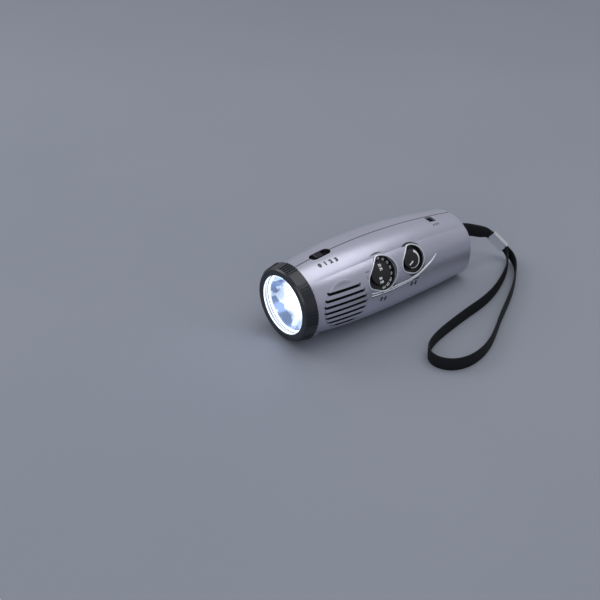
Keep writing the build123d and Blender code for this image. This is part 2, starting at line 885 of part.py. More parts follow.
def circuit_board():
    plane = dial_plane(TUNING_CENTRE, BOARD_DEPTH)
    length = BOARD_X[1] - BOARD_X[0]
    middle = (BOARD_X[0] + BOARD_X[1]) / 2 - TUNING_CENTRE[0]
    sketch = Pos(middle, 0) * Rectangle(length, 2 * BOARD_HALF_WIDTH)
    board = extrude(plane * sketch, -BOARD_T)
    return board


def antenna_parts():
    depth = BOARD_DEPTH + BOARD_T + 0.3 + COIL_T + ROD_R
    plane = dial_plane(TUNING_CENTRE, depth)
    start = plane.origin + plane.y_dir * 5.0 + Vector(2, 0, 0)
    rod = rod_x(start.Y, start.Z, ROD_R, start.X, start.X + ROD_LENGTH)
    coil_x = start.X + (ROD_LENGTH - COIL_LENGTH) / 2
    coil = rod_x(start.Y, start.Z, ROD_R + COIL_T, coil_x, coil_x + COIL_LENGTH)
    coil -= rod_x(start.Y, start.Z, ROD_R + RUN, coil_x - 1, coil_x + COIL_LENGTH + 1)
    return rod, coil


# ------------------------------------------------------------------ switch and jack


def switch_floor():
    return top_at(SWITCH_X) - SWITCH_DEPTH


def switch_rest_x():
    """The switch stands in the second of its four places."""
    return SWITCH_X - 0.5 * SWITCH_STEP


def switch_knob():
    x = switch_rest_x()
    floor_z = switch_floor() + 0.3
    length, width = SWITCH_KNOB
    pad = block(x - length / 2, x + length / 2, -width / 2, width / 2, floor_z, floor_z + 2.6)
    pad = fillet(pad.edges().filter_by(Axis.Z), 1.2)
    pad = chamfer(pad.faces().sort_by(Axis.Z)[-1].edges(), 0.4)
    for i in range(-1, 2):
        groove = block(x + 1.6 * i - 0.35, x + 1.6 * i + 0.35, -5, 5, floor_z + 2.1, floor_z + 5)
        pad -= groove
    stem = block(
        x - SWITCH_STEM[0] / 2,
        x + SWITCH_STEM[0] / 2,
        -SWITCH_STEM[1] / 2,
        SWITCH_STEM[1] / 2,
        switch_floor() - SWITCH_FLOOR - 2.6,
        floor_z + 1,
    )
    return pad + stem


def switch_body():
    length, width, height = SWITCH_BODY
    top = switch_floor() - SWITCH_FLOOR - SEAT
    body = block(
        SWITCH_X - length / 2, SWITCH_X + length / 2, -width / 2, width / 2, top - height, top
    )
    travel = 3 * SWITCH_STEP
    slot_length = SWITCH_STEM[0] + travel + 2 * FREE
    slot_width = SWITCH_STEM[1] + 2 * FREE
    body -= block(
        SWITCH_X - slot_length / 2,
        SWITCH_X + slot_length / 2,
        -slot_width / 2,
        slot_width / 2,
        top - 3.2,
        top + 1,
    )
    return body


def charge_jack():
    length, width, height = JACK_BODY
    top = top_at(JACK_X) - JACK_DEPTH - 1.2 - SEAT
    body = block(
        JACK_X - length / 2,
        JACK_X + length / 2,
        JACK_Y - width / 2,
        JACK_Y + width / 2,
        top - height,
        top,
    )
    collar = rod_z(JACK_X, JACK_Y, JACK_BORE_R + 0.25, top - 1, top + 1.2 + SEAT)
    body += collar
    body -= rod_z(JACK_X, JACK_Y, JACK_BORE_R, top - height + 2, top + 5)
    return body


# ------------------------------------------------------------------ gear train

CENTRES_1 = MODULE_1 * (CRANK_TEETH + PINION_TEETH) / 2
CENTRES_2 = MODULE_2 * (WHEEL_TEETH + ROTOR_TEETH) / 2
LINE = math.radians(GEAR_LINE_DEG)
IDLER = (HUB_X + CENTRES_1 * math.cos(LINE), HUB_Z + CENTRES_1 * math.sin(LINE))
ROTOR = (IDLER[0] - CENTRES_2, IDLER[1])
PLATE_POSTS = [(145.0, 6.0), (144.0, -15.0), (83.0, 15.0), (83.0, -12.0)]
WHEEL_Y = PLATE_Y + PLATE_T + 0.6
GEAR_Y = WHEEL_Y + WHEEL_T + 0.7
BOSS_IN_Y = GEAR_Y + GEAR_T + 0.3


def gear_outline(module, teeth, phase_deg):
    """Teeth with three points on each involute flank, the first tooth at phase_deg."""
    pitch_r = module * teeth / 2
    base_r = pitch_r * math.cos(math.radians(20))
    tip_r = pitch_r + 0.9 * module
    root_r = pitch_r - 1.15 * module
    half_pitch = (math.pi * module / 2 - BACKLASH) / (2 * pitch_r)

    def involute(radius):
        angle = math.acos(min(1.0, base_r / radius))
        return math.tan(angle) - angle

    def half_angle(radius):
        return half_pitch + involute(pitch_r) - involute(max(radius, base_r))

    flank = [(r, half_angle(r)) for r in (root_r, pitch_r, tip_r)]
    points = []
    for i in range(teeth):
        middle = math.radians(phase_deg) + 2 * math.pi * i / teeth
        for radius, half in flank:
            points.append((radius, middle - half))
        for radius, half in reversed(flank):
            points.append((radius, middle + half))
    corners = [(r * math.cos(a), r * math.sin(a)) for r, a in points]
    return make_face(Polyline(corners, close=True))


def gear(x, z, module, teeth, phase_deg, y0, y1):
    return side_plate(Pos(x, z) * gear_outline(module, teeth, phase_deg), y0, y1)


def crank_gear():
    wheel = gear(HUB_X, HUB_Z, MODULE_1, CRANK_TEETH, GEAR_LINE_DEG, GEAR_Y, GEAR_Y + GEAR_T)
    wheel -= rod_y(HUB_X, HUB_Z, CRANK_SHAFT_R + RUN / 2, 0, FAR)
    return wheel


def idler_gear():
    x, z = IDLER
    half_tooth = 180.0 / PINION_TEETH
    pinion = gear(
        x, z, MODULE_1, PINION_TEETH, GEAR_LINE_DEG + 180 + half_tooth, WHEEL_Y, GEAR_Y + GEAR_T
    )
    wheel = gear(x, z, MODULE_2, WHEEL_TEETH, 180.0, WHEEL_Y, WHEEL_Y + WHEEL_T)
    return pinion + wheel - rod_y(x, z, AXLE_R + RUN, 0, FAR)


def idler_axle():
    x, z = IDLER
    return rod_y(x, z, AXLE_R, PLATE_Y, BOSS_IN_Y + AXLE_END)


def rotor_shaft_parts():
    """The generator's rotor: a pinion and a magnet on one shaft."""
    x, z = ROTOR
    half_tooth = 180.0 / ROTOR_TEETH
    pinion = gear(x, z, MODULE_2, ROTOR_TEETH, half_tooth, WHEEL_Y - 0.2, WHEEL_Y + WHEEL_T)
    pinion -= rod_y(x, z, AXLE_R + RUN / 2, 0, FAR)
    shaft = rod_y(x, z, AXLE_R, generator_back() + 0.4, WHEEL_Y + WHEEL_T + 0.4)
    y0 = generator_back() + YOKE_WALL + 0.8
    magnet = rod_y(x, z, MAGNET_ROTOR_R, y0, PLATE_Y - 1.2)
    magnet -= rod_y(x, z, AXLE_R + RUN / 2, 0, FAR)
    return pinion, shaft, magnet


def generator_back():
    return PLATE_Y - SEAT - GENERATOR_T


def generator_yoke():
    x, z = ROTOR
    y0 = generator_back()
    cup = rod_y(x, z, GENERATOR_R, y0, PLATE_Y - SEAT)
    cup -= rod_y(x, z, GENERATOR_R - YOKE_WALL, y0 + YOKE_WALL, PLATE_Y)
    cup -= rod_y(x, z, AXLE_R + RUN, y0 - 1, FAR)
    return cup


def generator_coil():
    x, z = ROTOR
    y0 = generator_back() + YOKE_WALL + SEAT
    coil = rod_y(x, z, GENERATOR_R - YOKE_WALL - SEAT, y0, PLATE_Y - 2 * SEAT)
    coil -= rod_y(x, z, MAGNET_ROTOR_R + 0.6, 0, FAR)
    return coil


def gear_plate():
    discs = Sketch()
    for x, z in PLATE_POSTS:
        discs += Pos(x, z) * Circle(3.6)
    plate = side_plate(make_hull(discs.edges()), PLATE_Y, PLATE_Y + PLATE_T)
    plate -= rod_y(HUB_X, HUB_Z, CRANK_SHAFT_R - 1 + RUN, 0, FAR)
    plate -= rod_y(IDLER[0], IDLER[1], AXLE_R + RUN, 0, FAR)
    plate -= rod_y(ROTOR[0], ROTOR[1], AXLE_R + RUN, 0, FAR)
    return plate


# ------------------------------------------------------------------ crank

ARM_Y = BOSS_Y + FREE
PIN_X = HUB_X - ARM_REACH
PIN_Y = ARM_Y + ARM_T + 0.3


def crank_arm():
    hub = Pos(HUB_X, HUB_Z) * Circle(ARM_HUB_R)
    end = Pos(PIN_X + 2, HUB_Z) * Circle(ARM_END_R)
    sketch = make_hull((hub + end).edges())
    arm = side_plate(sketch, ARM_Y, ARM_Y + ARM_T)
    arm = chamfer(arm.faces().sort_by(Axis.Y)[-1].edges(), 0.8)
    ears = side_plate(
        sketch & (Pos(PIN_X - 1, HUB_Z) * Rectangle(11, 40)), ARM_Y, ARM_Y + ARM_T + ARM_END_Y
    )
    arm += ears
    window_x0 = PIN_X - EYE_R - 0.8
    window_x1 = PIN_X + KNOB_NECK + KNOB_LENGTH + 1.2
    half = KNOB_R + FREE
    arm -= block(window_x0, window_x1, 0, FAR, HUB_Z - half, HUB_Z + half)
    arm -= rod_z(PIN_X, PIN_Y, PIN_R + RUN / 2, HUB_Z - 20, HUB_Z + 20)
    arm -= rod_y(HUB_X, HUB_Z, CRANK_SHAFT_R + RUN / 2, 0, FAR)
    return arm


def crank_shaft():
    thick = rod_y(HUB_X, HUB_Z, CRANK_SHAFT_R, GEAR_Y - 0.4, ARM_Y + ARM_T - 2.4)
    thin = rod_y(HUB_X, HUB_Z, CRANK_SHAFT_R - 1, PLATE_Y - 0.4, GEAR_Y)
    shaft = thick + thin
    return shaft - rod_y(HUB_X, HUB_Z, SCREW_R + RUN, ARM_Y - 6, FAR)


def crank_screw():
    top = ARM_Y + ARM_T
    seat = top - 2.4 + SEAT
    head = rod_y(HUB_X, HUB_Z, CRANK_SHAFT_R - 0.2, seat, top)
    shank = rod_y(HUB_X, HUB_Z, SCREW_R, ARM_Y - 5, seat)
    cross = block(HUB_X - 2.2, HUB_X + 2.2, top - 1, top + 1, HUB_Z - 0.4, HUB_Z + 0.4)
    cross += block(HUB_X - 0.4, HUB_X + 0.4, top - 1, top + 1, HUB_Z - 2.2, HUB_Z + 2.2)
    return head + shank - cross


def fold_pin():
    half = ARM_END_R - 0.6
    return rod_z(PIN_X, PIN_Y, PIN_R, HUB_Z - half, HUB_Z + half)


def knob_spindle():
    """An eye on the fold pin and a rod that carries the knob."""
    eye = rod_z(PIN_X, PIN_Y, EYE_R, HUB_Z - KNOB_R + 0.6, HUB_Z + KNOB_R - 0.6)
    eye -= rod_z(PIN_X, PIN_Y, PIN_R + RUN, HUB_Z - 20, HUB_Z + 20)
    start = PIN_X + EYE_R - 0.5
    end = PIN_X + KNOB_NECK + KNOB_LENGTH
    rod = rod_x(PIN_Y, HUB_Z, SPINDLE_R, start, end - 0.8)
    head = rod_x(PIN_Y, HUB_Z, SPINDLE_R + 1.2, end - 1.6, end - 0.6)
    return eye + rod + head


def crank_knob():
    start = PIN_X + KNOB_NECK
    end = start + KNOB_LENGTH
    waist = 0.5
    half = Polyline(
        [
            (start, SPINDLE_R + RUN, 0),
            (start, KNOB_R - 0.8, 0),
            (start + 0.8, KNOB_R, 0),
            (start + 4, KNOB_R, 0),
        ]
    )
    grip = ThreePointArc(
        (start + 4, KNOB_R, 0),
        ((start + end) / 2, KNOB_R - waist, 0),
        (end - 4, KNOB_R, 0),
    )
    tail = Polyline(
        [
            (end - 4, KNOB_R, 0),
            (end - 1.2, KNOB_R, 0),
            (end, KNOB_R - 1.2, 0),
            (end, SPINDLE_R + 1.2 + 0.3, 0),
            (end - 1.9, SPINDLE_R + 1.2 + 0.3, 0),
            (end - 1.9, SPINDLE_R + RUN, 0),
            (start, SPINDLE_R + RUN, 0),
        ]
    )
    knob = revolve(make_face(half + grip + tail), Axis.X, 360)
    return Pos(0, PIN_Y, HUB_Z) * knob


# ------------------------------------------------------------------ battery and screws


def battery_outline(grow):
    discs = Sketch()
    for y, z in CELLS:
        discs += Pos(y, z) * Circle(CELL_R + grow)
    return make_hull(discs.edges())


def battery_parts():
    plane = Plane(origin=(CELL_X, 0, 0), x_dir=(0, 1, 0), z_dir=(1, 0, 0))
    cells = [rod_x(y, z, CELL_R, CELL_X, CELL_X + CELL_LENGTH) for y, z in CELLS]
    sleeve = extrude(plane * battery_outline(SLEEVE_T), CELL_LENGTH)
    sleeve -= extrude(plane * battery_outline(0.1), CELL_LENGTH)
    return cells[0] + cells[1:], sleeve


def case_screws():
    screws = []
    for x, z in SCREWS:
        seat = screw_seat_y(x, z) + SEAT
        head = rod_y(x, z, SCREW_HEAD_R, seat, seat + 1.8)
        cross = block(x - 1.6, x + 1.6, seat + 1, seat + 3, z - 0.3, z + 0.3)
        cross += block(x - 0.3, x + 0.3, seat + 1, seat + 3, z - 1.6, z + 1.6)
        screws.append(head + rod_y(x, z, SCREW_R, SCREW_TIP_Y, seat) - cross)
    return screws[0] + screws[1:]


# ------------------------------------------------------------------ strap

# The webbing stands on its edge. Each route is a hand-chosen list of points along its middle.
# The ferrule joins the small loop, which hangs on the strap pin, to the wrist strap.
FERRULE_START = Vector(206.5, -8.9, -10.5)
FERRULE_END = Vector(212.6, -18.8, -20.5)
BAND_STEP_DEG = 24.0  # largest turn between two sections of a band
PINCHED_WIDTH = 7.3  # width of the webbing where the ferrule squeezes it
PINCH_LENGTH = 12.0  # length over which it widens again
LEG_SPREAD = 0.75  # from the ferrule's middle to the middle of each leg in it
LEG_IN = 4.5  # length of each leg in the ferrule
LEG_STRAIGHT = 2.5  # straight length of the small loop's legs ahead of the ferrule
# Middle of the small loop's two legs, and half their distance, from the pin outwards
SMALL_LOOP = [
    (163.5, 0.0, 1.5, 2.25),
    (172.0, -0.4, 1.4, 1.9),
    (184.5, -2.6, -0.6, 1.35),
    (196.3, -6.0, -5.5, 0.95),
]
WRIST_ROUTE = [
    (213.4, -21.5, -22.8),
    (207.0, -28.6, -24.6),
    (196.4, -37.5, -24.9),
    (181.9, -46.3, -24.9),
    (163.5, -55.2, -24.9),
    (145.2, -60.7, -24.9),
    (122.9, -64.1, -24.9),
    (101.5, -68.4, -24.9),
    (85.5, -72.3, -24.9),
    (74.0, -77.0, -24.9),
    (66.7, -82.4, -24.9),
    (63.1, -89.8, -24.9),
    (63.9, -97.4, -24.9),
    (69.8, -105.1, -24.9),
    (81.0, -108.9, -24.9),
    (95.0, -107.5, -24.9),
    (108.8, -102.6, -24.9),
    (122.7, -94.8, -24.9),
    (136.7, -85.6, -24.9),
    (152.8, -76.3, -24.9),
    (168.8, -66.8, -24.9),
    (184.1, -56.7, -24.9),
    (197.3, -46.1, -24.9),
    (207.6, -36.0, -24.2),
    (214.8, -21.0, -23.1),
]


def ferrule_axes():
    """The ferrule's direction, and level across it towards the wearer's side."""
    along = (FERRULE_END - FERRULE_START).normalized()
    across = Vector(along.Y, -along.X, 0).normalized()
    return along, across


def corner_radii(points):
    """As large a radius at each corner as its two runs allow."""
    radii = []
    for a, b, c in zip(points, points[1:], points[2:]):
        into, out = b - a, c - b
        half_turn = math.radians(into.get_angle(out)) / 2
        radii.append(0.45 * min(into.length, out.length) / math.tan(half_turn))
    return radii


def band_section(point, tangent, to_end):
    """The webbing's section at a point, narrowed near its ends in the ferrule."""
    share = min(1.0, max(0.0, (to_end - LEG_IN) / PINCH_LENGTH))
    width = PINCHED_WIDTH + (STRAP_WIDTH - PINCHED_WIDTH) * share
    level = Vector(tangent.X, tangent.Y, 0).normalized()
    plane = Plane(origin=point, x_dir=(-level.Y, level.X, 0), z_dir=level)
    return plane * Rectangle(STRAP_T, width)


def band(route, name):
    """A flat band, its width upright, along rounded straight runs."""
    points = [Vector(*point) for point in route]
    radii = corner_radii(points)
    path = FilletPolyline(points, radius=radii)
    sections = [band_section(points[0], points[1] - points[0], 0.0)]
    run = 0.0
    for edge in path.edges():
        steps = 0
        if edge.geom_type == GeomType.CIRCLE:
            turn = math.degrees(edge.length / edge.radius)
            steps = max(1, math.ceil(turn / BAND_STEP_DEG))
        for i in range(steps + 1 if steps else 0):
            here = run + edge.length * i / steps
            to_end = min(here, path.length - here)
            sections.append(band_section(edge @ (i / steps), edge % (i / steps), to_end))
        run += edge.length
    sections.append(band_section(points[-1], points[-1] - points[-2], 0.0))
    shape = loft(sections, ruled=True)
    full = path.length * STRAP_T * STRAP_WIDTH
    print(name, "radii", [round(r, 1) for r in radii])
    print(name, "length", round(path.length, 1), "volume", round(shape.volume), "of", round(full))
    return shape


def leg_points(rows, side):
    """Points of one of the small loop's legs, beside the middle line of both."""
    middles = [Vector(x, y, z) for x, y, z, spread in rows] + [FERRULE_START]
    points = []
    for (x, y, z, spread), following in zip(rows, middles[1:]):
        ahead = following - Vector(x, y, z)
        across = Vector(ahead.Y, -ahead.X, 0).normalized()
        points.append(Vector(x, y, z) + across * spread * side)
    return points


def strap_small_loop():
    along, across = ferrule_axes()
    pin_x = BODY_END - STRAP_PIN_IN
    reach = STRAP_PIN_R + SEAT + STRAP_T / 2
    legs = []
    for side in (1, -1):
        mouth = FERRULE_START + across * LEG_SPREAD * side - along * LEG_STRAIGHT
        turn = Vector(pin_x - reach, -reach * side, STRAP_Z)
        legs.append(
            [turn] + leg_points(SMALL_LOOP, side) + [mouth, mouth + along * (LEG_STRAIGHT + LEG_IN)]
        )
    return band(list(reversed(legs[0])) + legs[1], "strap_small_loop")


def wrist_strap():
    along, across = ferrule_axes()
    inside = FERRULE_END - along * LEG_IN
    start = inside + across * LEG_SPREAD
    end = inside - across * LEG_SPREAD
    return band([start] + WRIST_ROUTE + [end], "wrist_strap")


def strap_ferrule():
    """A flat tube that is crimped over the four ends of webbing."""
    along, across = ferrule_axes()
    plane = Plane(origin=FERRULE_START, x_dir=across, z_dir=along)
    length = (FERRULE_END - FERRULE_START).length
    thick, wide = FERRULE_SECTION
    outer = extrude(plane * RectangleRounded(thick, wide, 0.9), length)
    inner = Rectangle(thick - 2 * FERRULE_WALL, wide - 2 * FERRULE_WALL)
    return outer - extrude(plane * inner, length)


# ------------------------------------------------------------------ assembly

STRAP_NODES = ("strap_small_loop", "strap_ferrule", "wrist_strap")


def build():
    outer = rounded_body()
    cavity = body_form(grow=-WALL, creased=False, start=BODY_START, end=BODY_END - WALL)
    control, crank = shell_halves(outer, cavity)
    rod, coil = antenna_parts()
    cells, sleeve = battery_parts()
    pinion, shaft, magnet = rotor_shaft_parts()
    pin_half = POCKET_HALF_HEIGHT + POCKET_WALL
    ferrule = strap_ferrule()
    return {
        "control_shell": control_shell(control, outer, cavity),
        "crank_shell": crank_shell(crank, outer, cavity),
        "case_screws": case_screws(),
        "head_ring": head_ring(),
        "lens": lens(),
        "lens_gasket": lens_gasket(),
        "lamp_housing": lamp_housing(),
        "reflector": reflector(),
        "led_lamp": led_lamp(),
        "led_board": led_board(),
        "speaker_basket": speaker_basket(),
        "speaker_cone": speaker_cone(),
        "speaker_magnet": speaker_magnet(),
        "tuning_dial": dial_shape(TUNING_CENTRE, TUNING_OPENING_R, TUNING_KNOB_R),
        "tuning_capacitor": tuning_capacitor(),
        "volume_dial": dial_shape(VOLUME_CENTRE, VOLUME_OPENING_R, VOLUME_KNOB_R),
        "volume_pot": volume_pot(),
        "circuit_board": circuit_board(),
        "antenna_rod": rod,
        "antenna_coil": coil,
        "switch_knob": switch_knob(),
        "switch_body": switch_body(),
        "charge_jack": charge_jack(),
        "battery_cells": cells,
        "battery_sleeve": sleeve,
        "gear_plate": gear_plate(),
        "crank_gear": crank_gear(),
        "idler_gear": idler_gear(),
        "idler_axle": idler_axle(),
        "rotor_pinion": pinion,
        "rotor_shaft": shaft,
        "rotor_magnet": magnet,
        "generator_yoke": generator_yoke(),
        "generator_coil": generator_coil(),
        "crank_shaft": crank_shaft(),
        "crank_arm": crank_arm(),
        "crank_screw": crank_screw(),
        "fold_pin": fold_pin(),
        "knob_spindle": knob_spindle(),
        "crank_knob": crank_knob(),
        "strap_pin": rod_z(
            BODY_END - STRAP_PIN_IN, 0, STRAP_PIN_R, STRAP_Z - pin_half, STRAP_Z + pin_half
        ),
        "strap_small_loop": strap_small_loop() - ferrule,
        "strap_ferrule": ferrule,
        "wrist_strap": wrist_strap() - ferrule,
    }


def place(nodes):
    """Set the origin on the floor, under the middle of everything but the strap."""
    boxes = [shape.bounding_box() for name, shape in nodes.items() if name not in STRAP_NODES]
    x_mid = (min(box.min.X for box in boxes) + max(box.max.X for box in boxes)) / 2
    y_mid = (min(box.min.Y for box in boxes) + max(box.max.Y for box in boxes)) / 2
    print("origin shift", round(-x_mid, 4), round(-y_mid, 4), FLOOR_DROP)
    return {name: Pos(-x_mid, -y_mid, FLOOR_DROP) * shape for name, shape in nodes.items()}


if __name__ == "__main__":
    for name, shape in place(build()).items():
        export_step(shape, f"parts/{name}.step")
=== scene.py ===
import math
import bmesh
import bpy
from mathutils import Matrix, Vector
from mathutils.bvhtree import BVHTree


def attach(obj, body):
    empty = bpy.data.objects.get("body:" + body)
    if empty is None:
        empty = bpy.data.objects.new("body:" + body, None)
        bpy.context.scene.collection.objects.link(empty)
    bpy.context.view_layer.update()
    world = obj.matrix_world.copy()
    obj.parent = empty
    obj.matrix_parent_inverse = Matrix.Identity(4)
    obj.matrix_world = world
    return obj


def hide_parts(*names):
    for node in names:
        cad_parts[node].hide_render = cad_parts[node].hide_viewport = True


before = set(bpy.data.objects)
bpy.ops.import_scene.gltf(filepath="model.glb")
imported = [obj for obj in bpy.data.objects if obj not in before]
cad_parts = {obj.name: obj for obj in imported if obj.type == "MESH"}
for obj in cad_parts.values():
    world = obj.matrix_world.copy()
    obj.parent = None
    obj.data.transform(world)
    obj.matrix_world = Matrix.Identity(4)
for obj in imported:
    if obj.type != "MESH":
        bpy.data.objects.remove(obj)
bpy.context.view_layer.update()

MM = 0.001
# From the part's own modelling origin to the row frame, in mm
SHIFT = Vector((-83.2, -5.2, 30.0))
HOUSING = "housing"


def at(x, y, z):
    """A point given in mm from the ring's front, on the lamp's axis, as metres in the row frame."""
    return (Vector((x, y, z)) + SHIFT) * MM


# ------------------------------------------------------------------ camera, stage and light

YAW = math.radians(51.22)
PITCH = math.radians(32.35)
EYE = at(-442.105, -570.771, 461.758)


def make_camera():
    """The camera fitted to the photo."""
    forward = Vector(
        (math.cos(YAW) * math.cos(PITCH), math.sin(YAW) * math.cos(PITCH), -math.sin(PITCH))
    )
    right = Vector((math.sin(YAW), -math.cos(YAW), 0))
    up = right.cross(forward)
    data = bpy.data.cameras.new("photo_camera")
    data.lens = 72.0
    data.sensor_width = 36.0
    data.sensor_fit = "HORIZONTAL"
    data.clip_start = 0.05
    camera = bpy.data.objects.new("photo_camera", data)
    bpy.context.scene.collection.objects.link(camera)
    rows = [(right[i], up[i], -forward[i], EYE[i]) for i in range(3)] + [(0, 0, 0, 1)]
    camera.matrix_world = Matrix(rows)
    bpy.context.scene.camera = camera


def area_light(name, place, target, size, power, colour):
    data = bpy.data.lights.new(name, "AREA")
    data.shape = "RECTANGLE"
    data.size, data.size_y = size
    data.energy = power
    data.color = colour
    lamp = bpy.data.objects.new(name, data)
    bpy.context.scene.collection.objects.link(lamp)
    lamp.location = place
    lamp.rotation_euler = (Vector(target) - Vector(place)).to_track_quat("-Z", "Y").to_euler()


def make_light():
    """Three soft lights and an even sky."""
    area_light("overhead_light", (0.35, -0.08, 1.2), (0.02, 0, 0), (1.1, 1.0), 5.5, (1.0, 1.0, 1.0))
    area_light("left_light", (-0.95, -0.75, 0.75), (0, 0, 0.03), (0.9, 0.9), 3.6, (0.93, 0.95, 1.0))
    area_light("back_light", (-0.35, 0.9, 0.7), (0, 0, 0.03), (0.8, 0.5), 2.5, (0.96, 0.98, 1.0))
    world = bpy.data.worlds.new("studio")
    world.use_nodes = True
    background = world.node_tree.nodes["Background"]
    background.inputs["Color"].default_value = (0.80, 0.82, 0.88, 1)
    background.inputs["Strength"].default_value = 0.5
    bpy.context.scene.world = world


# ------------------------------------------------------------------ node helpers


class Nodes:
    """Short calls for building a material's nodes."""

    def __init__(self, name):
        self.material = bpy.data.materials.new(name)
        self.material.use_nodes = True
        self.tree = self.material.node_tree
        self.shader = self.tree.nodes["Principled BSDF"]
        self.coords = self.tree.nodes.new("ShaderNodeTexCoord").outputs["Object"]

    def link(self, source, target):
        self.tree.links.new(source, target)

    def put(self, socket, value):
        if isinstance(value, bpy.types.NodeSocket):
            self.link(value, socket)
        else:
            socket.default_value = value

    def set(self, **values):
        for name, value in values.items():
            self.put(self.shader.inputs[name.replace("_", " ")], value)

    def math(self, operation, a, b=None):
        node = self.tree.nodes.new("ShaderNodeMath")
        node.operation = operation
        self.put(node.inputs[0], a)
        if b is not None:
            self.put(node.inputs[1], b)
        return node.outputs[0]

    def add(self, a, b):
        return self.math("ADD", a, b)

    def multiply(self, a, b):
        return self.math("MULTIPLY", a, b)

    def hypotenuse(self, a, b):
        return self.math("SQRT", self.add(self.multiply(a, a), self.multiply(b, b)))

    def vector(self, operation, a, b=(0, 0, 0), output="Vector"):
        node = self.tree.nodes.new("ShaderNodeVectorMath")
        node.operation = operation
        self.put(node.inputs[0], a)
        self.put(node.inputs[1], b)
        return node.outputs[output]

    def split(self, vector):
        node = self.tree.nodes.new("ShaderNodeSeparateXYZ")
        self.link(vector, node.inputs[0])
        return node.outputs

    def noise(self, scale, detail=3.0):
        node = self.tree.nodes.new("ShaderNodeTexNoise")
        self.link(self.coords, node.inputs["Vector"])
        node.inputs["Scale"].default_value = scale
        node.inputs["Detail"].default_value = detail
        node.inputs["Roughness"].default_value = 0.55
        return node.outputs["Fac"]

    def ramp(self, fac, stops):
        node = self.tree.nodes.new("ShaderNodeValToRGB")
        self.link(fac, node.inputs["Fac"])
        elements = node.color_ramp.elements
        while len(elements) < len(stops):
            elements.new(0.5)
        for element, (place, colour) in zip(elements, stops):
            element.position = place
            element.color = (*colour, 1)
        return node.outputs["Color"]

    def mix(self, fac, a, b):
        node = self.tree.nodes.new("ShaderNodeMix")
        node.data_type = "RGBA"
        self.put(node.inputs["Factor"], fac)
        self.put(node.inputs["A"], a)
        self.put(node.inputs["B"], b)
        return node.outputs["Result"]

    def remap(self, value, low, high, new_low, new_high):
        node = self.tree.nodes.new("ShaderNodeMapRange")
        node.clamp = True
        for i, item in enumerate((value, low, high, new_low, new_high)):
            self.put(node.inputs[i], item)
        return node.outputs[0]

    def bump(self, height, strength, distance):
        node = self.tree.nodes.new("ShaderNodeBump")
        node.inputs["Strength"].default_value = strength
        node.inputs["Distance"].default_value = distance
        self.link(height, node.inputs["Height"])
        self.link(node.outputs["Normal"], self.shader.inputs["Normal"])


CLOUD_SCALE = 38.0
GLOSS_SCALE = 150.0
GRAIN_DEPTH = 0.08 * MM


def plain_surface(name, colour, roughness, metallic, spread, grain, bump):
    """A moulded, painted or machined surface: cloudy tone, uneven gloss and fine grain."""
    n = Nodes(name)
    light = tuple(min(1.0, c * (1 + spread)) for c in colour)
    dark = tuple(c * (1 - spread) for c in colour)
    tone = n.ramp(n.noise(CLOUD_SCALE, 4.0), [(0.32, dark), (0.68, light)])
    n.set(Base_Color=tone, Metallic=metallic)
    n.set(Roughness=n.remap(n.noise(GLOSS_SCALE), 0.3, 0.7, roughness - 0.05, roughness + 0.06))
    n.bump(n.noise(grain, 2.0), bump, GRAIN_DEPTH)
    return n.material


# ------------------------------------------------------------------ places on the housing, in mm

TILT = math.radians(30.0)
DIAL_OUT = Vector((0, -math.cos(TILT), math.sin(TILT)))
DIAL_UP = Vector((0, math.sin(TILT), math.cos(TILT)))
TUNING = (70.5, -27.3, 13.3)
VOLUME = (101.3, -26.9, 13.8)
TUNING_KNOB_R = 9.3
VOLUME_KNOB_R = 7.9
FLANGE_DEPTH = 3.2
# A dial's centre, and how far from there the painted shade in its well reaches
WELLS = ((TUNING, 15.2), (VOLUME, 12.5))
WELL_TOP = 0.6
WELL_BOTTOM_OF_FADE = 0.9
WELL_EDGE_FADE = 0.5
GRILLE = (34.5, -31.0, 1.5)
GRILLE_REACH = 17.2
GRILLE_INNER_Y = -10.0
# Two corners of a recess, then a place x, z on the line of its rim and that line's slope
RECESSES = (
    ((24.0, -4.6, 20.0), (45.0, 4.6, 40.0), (10.0, 26.4, 0.1067)),
    ((136.2, -8.2, 10.0), (143.8, -0.6, 40.0), (140.0, 22.7, -0.164)),
)
SEAM_HALF_WIDTH = 0.42
SEAM_START = 10.6


# ------------------------------------------------------------------ materials


def box_mask(n, axes, low, high):
    """1 inside a box with sides along the axes."""
    sides = [
        n.multiply(n.math("GREATER_THAN", axes[i], low[i]), n.math("LESS_THAN", axes[i], high[i]))
        for i in range(3)
    ]
    return n.multiply(n.multiply(sides[0], sides[1]), sides[2])


def under_slope(n, axes, x0, z0, slope):
    """1 below the line z0 + slope (x - x0), in mm."""
    start = at(x0, 0, z0)
    line = n.add(n.multiply(n.math("SUBTRACT", axes[0], start.x), slope), start.z)
    return n.math("LESS_THAN", axes[2], line)


def well_mask(n, centre, reach):
    """1 below the top of a dial's well, as far as the well reaches."""
    offset = n.vector("SUBTRACT", n.coords, tuple(at(*centre)))
    height = n.vector("DOT_PRODUCT", offset, tuple(DIAL_OUT), "Value")
    distance = n.vector("LENGTH", offset, output="Value")
    return n.multiply(
        n.remap(height, -WELL_BOTTOM_OF_FADE * MM, -WELL_TOP * MM, 1.0, 0.0),
        n.remap(distance, reach * MM, (reach + WELL_EDGE_FADE) * MM, 1.0, 0.0),
    )


def seam_mask(n, axes):
    """1 in the narrow gap between the two shells, behind the ring."""
    off_middle = n.math("ABSOLUTE", n.math("SUBTRACT", axes[1], at(0, 0, 0).y))
    return n.multiply(
        n.math("LESS_THAN", off_middle, SEAM_HALF_WIDTH * MM),
        n.math("GREATER_THAN", axes[0], at(SEAM_START, 0, 0).x),
    )


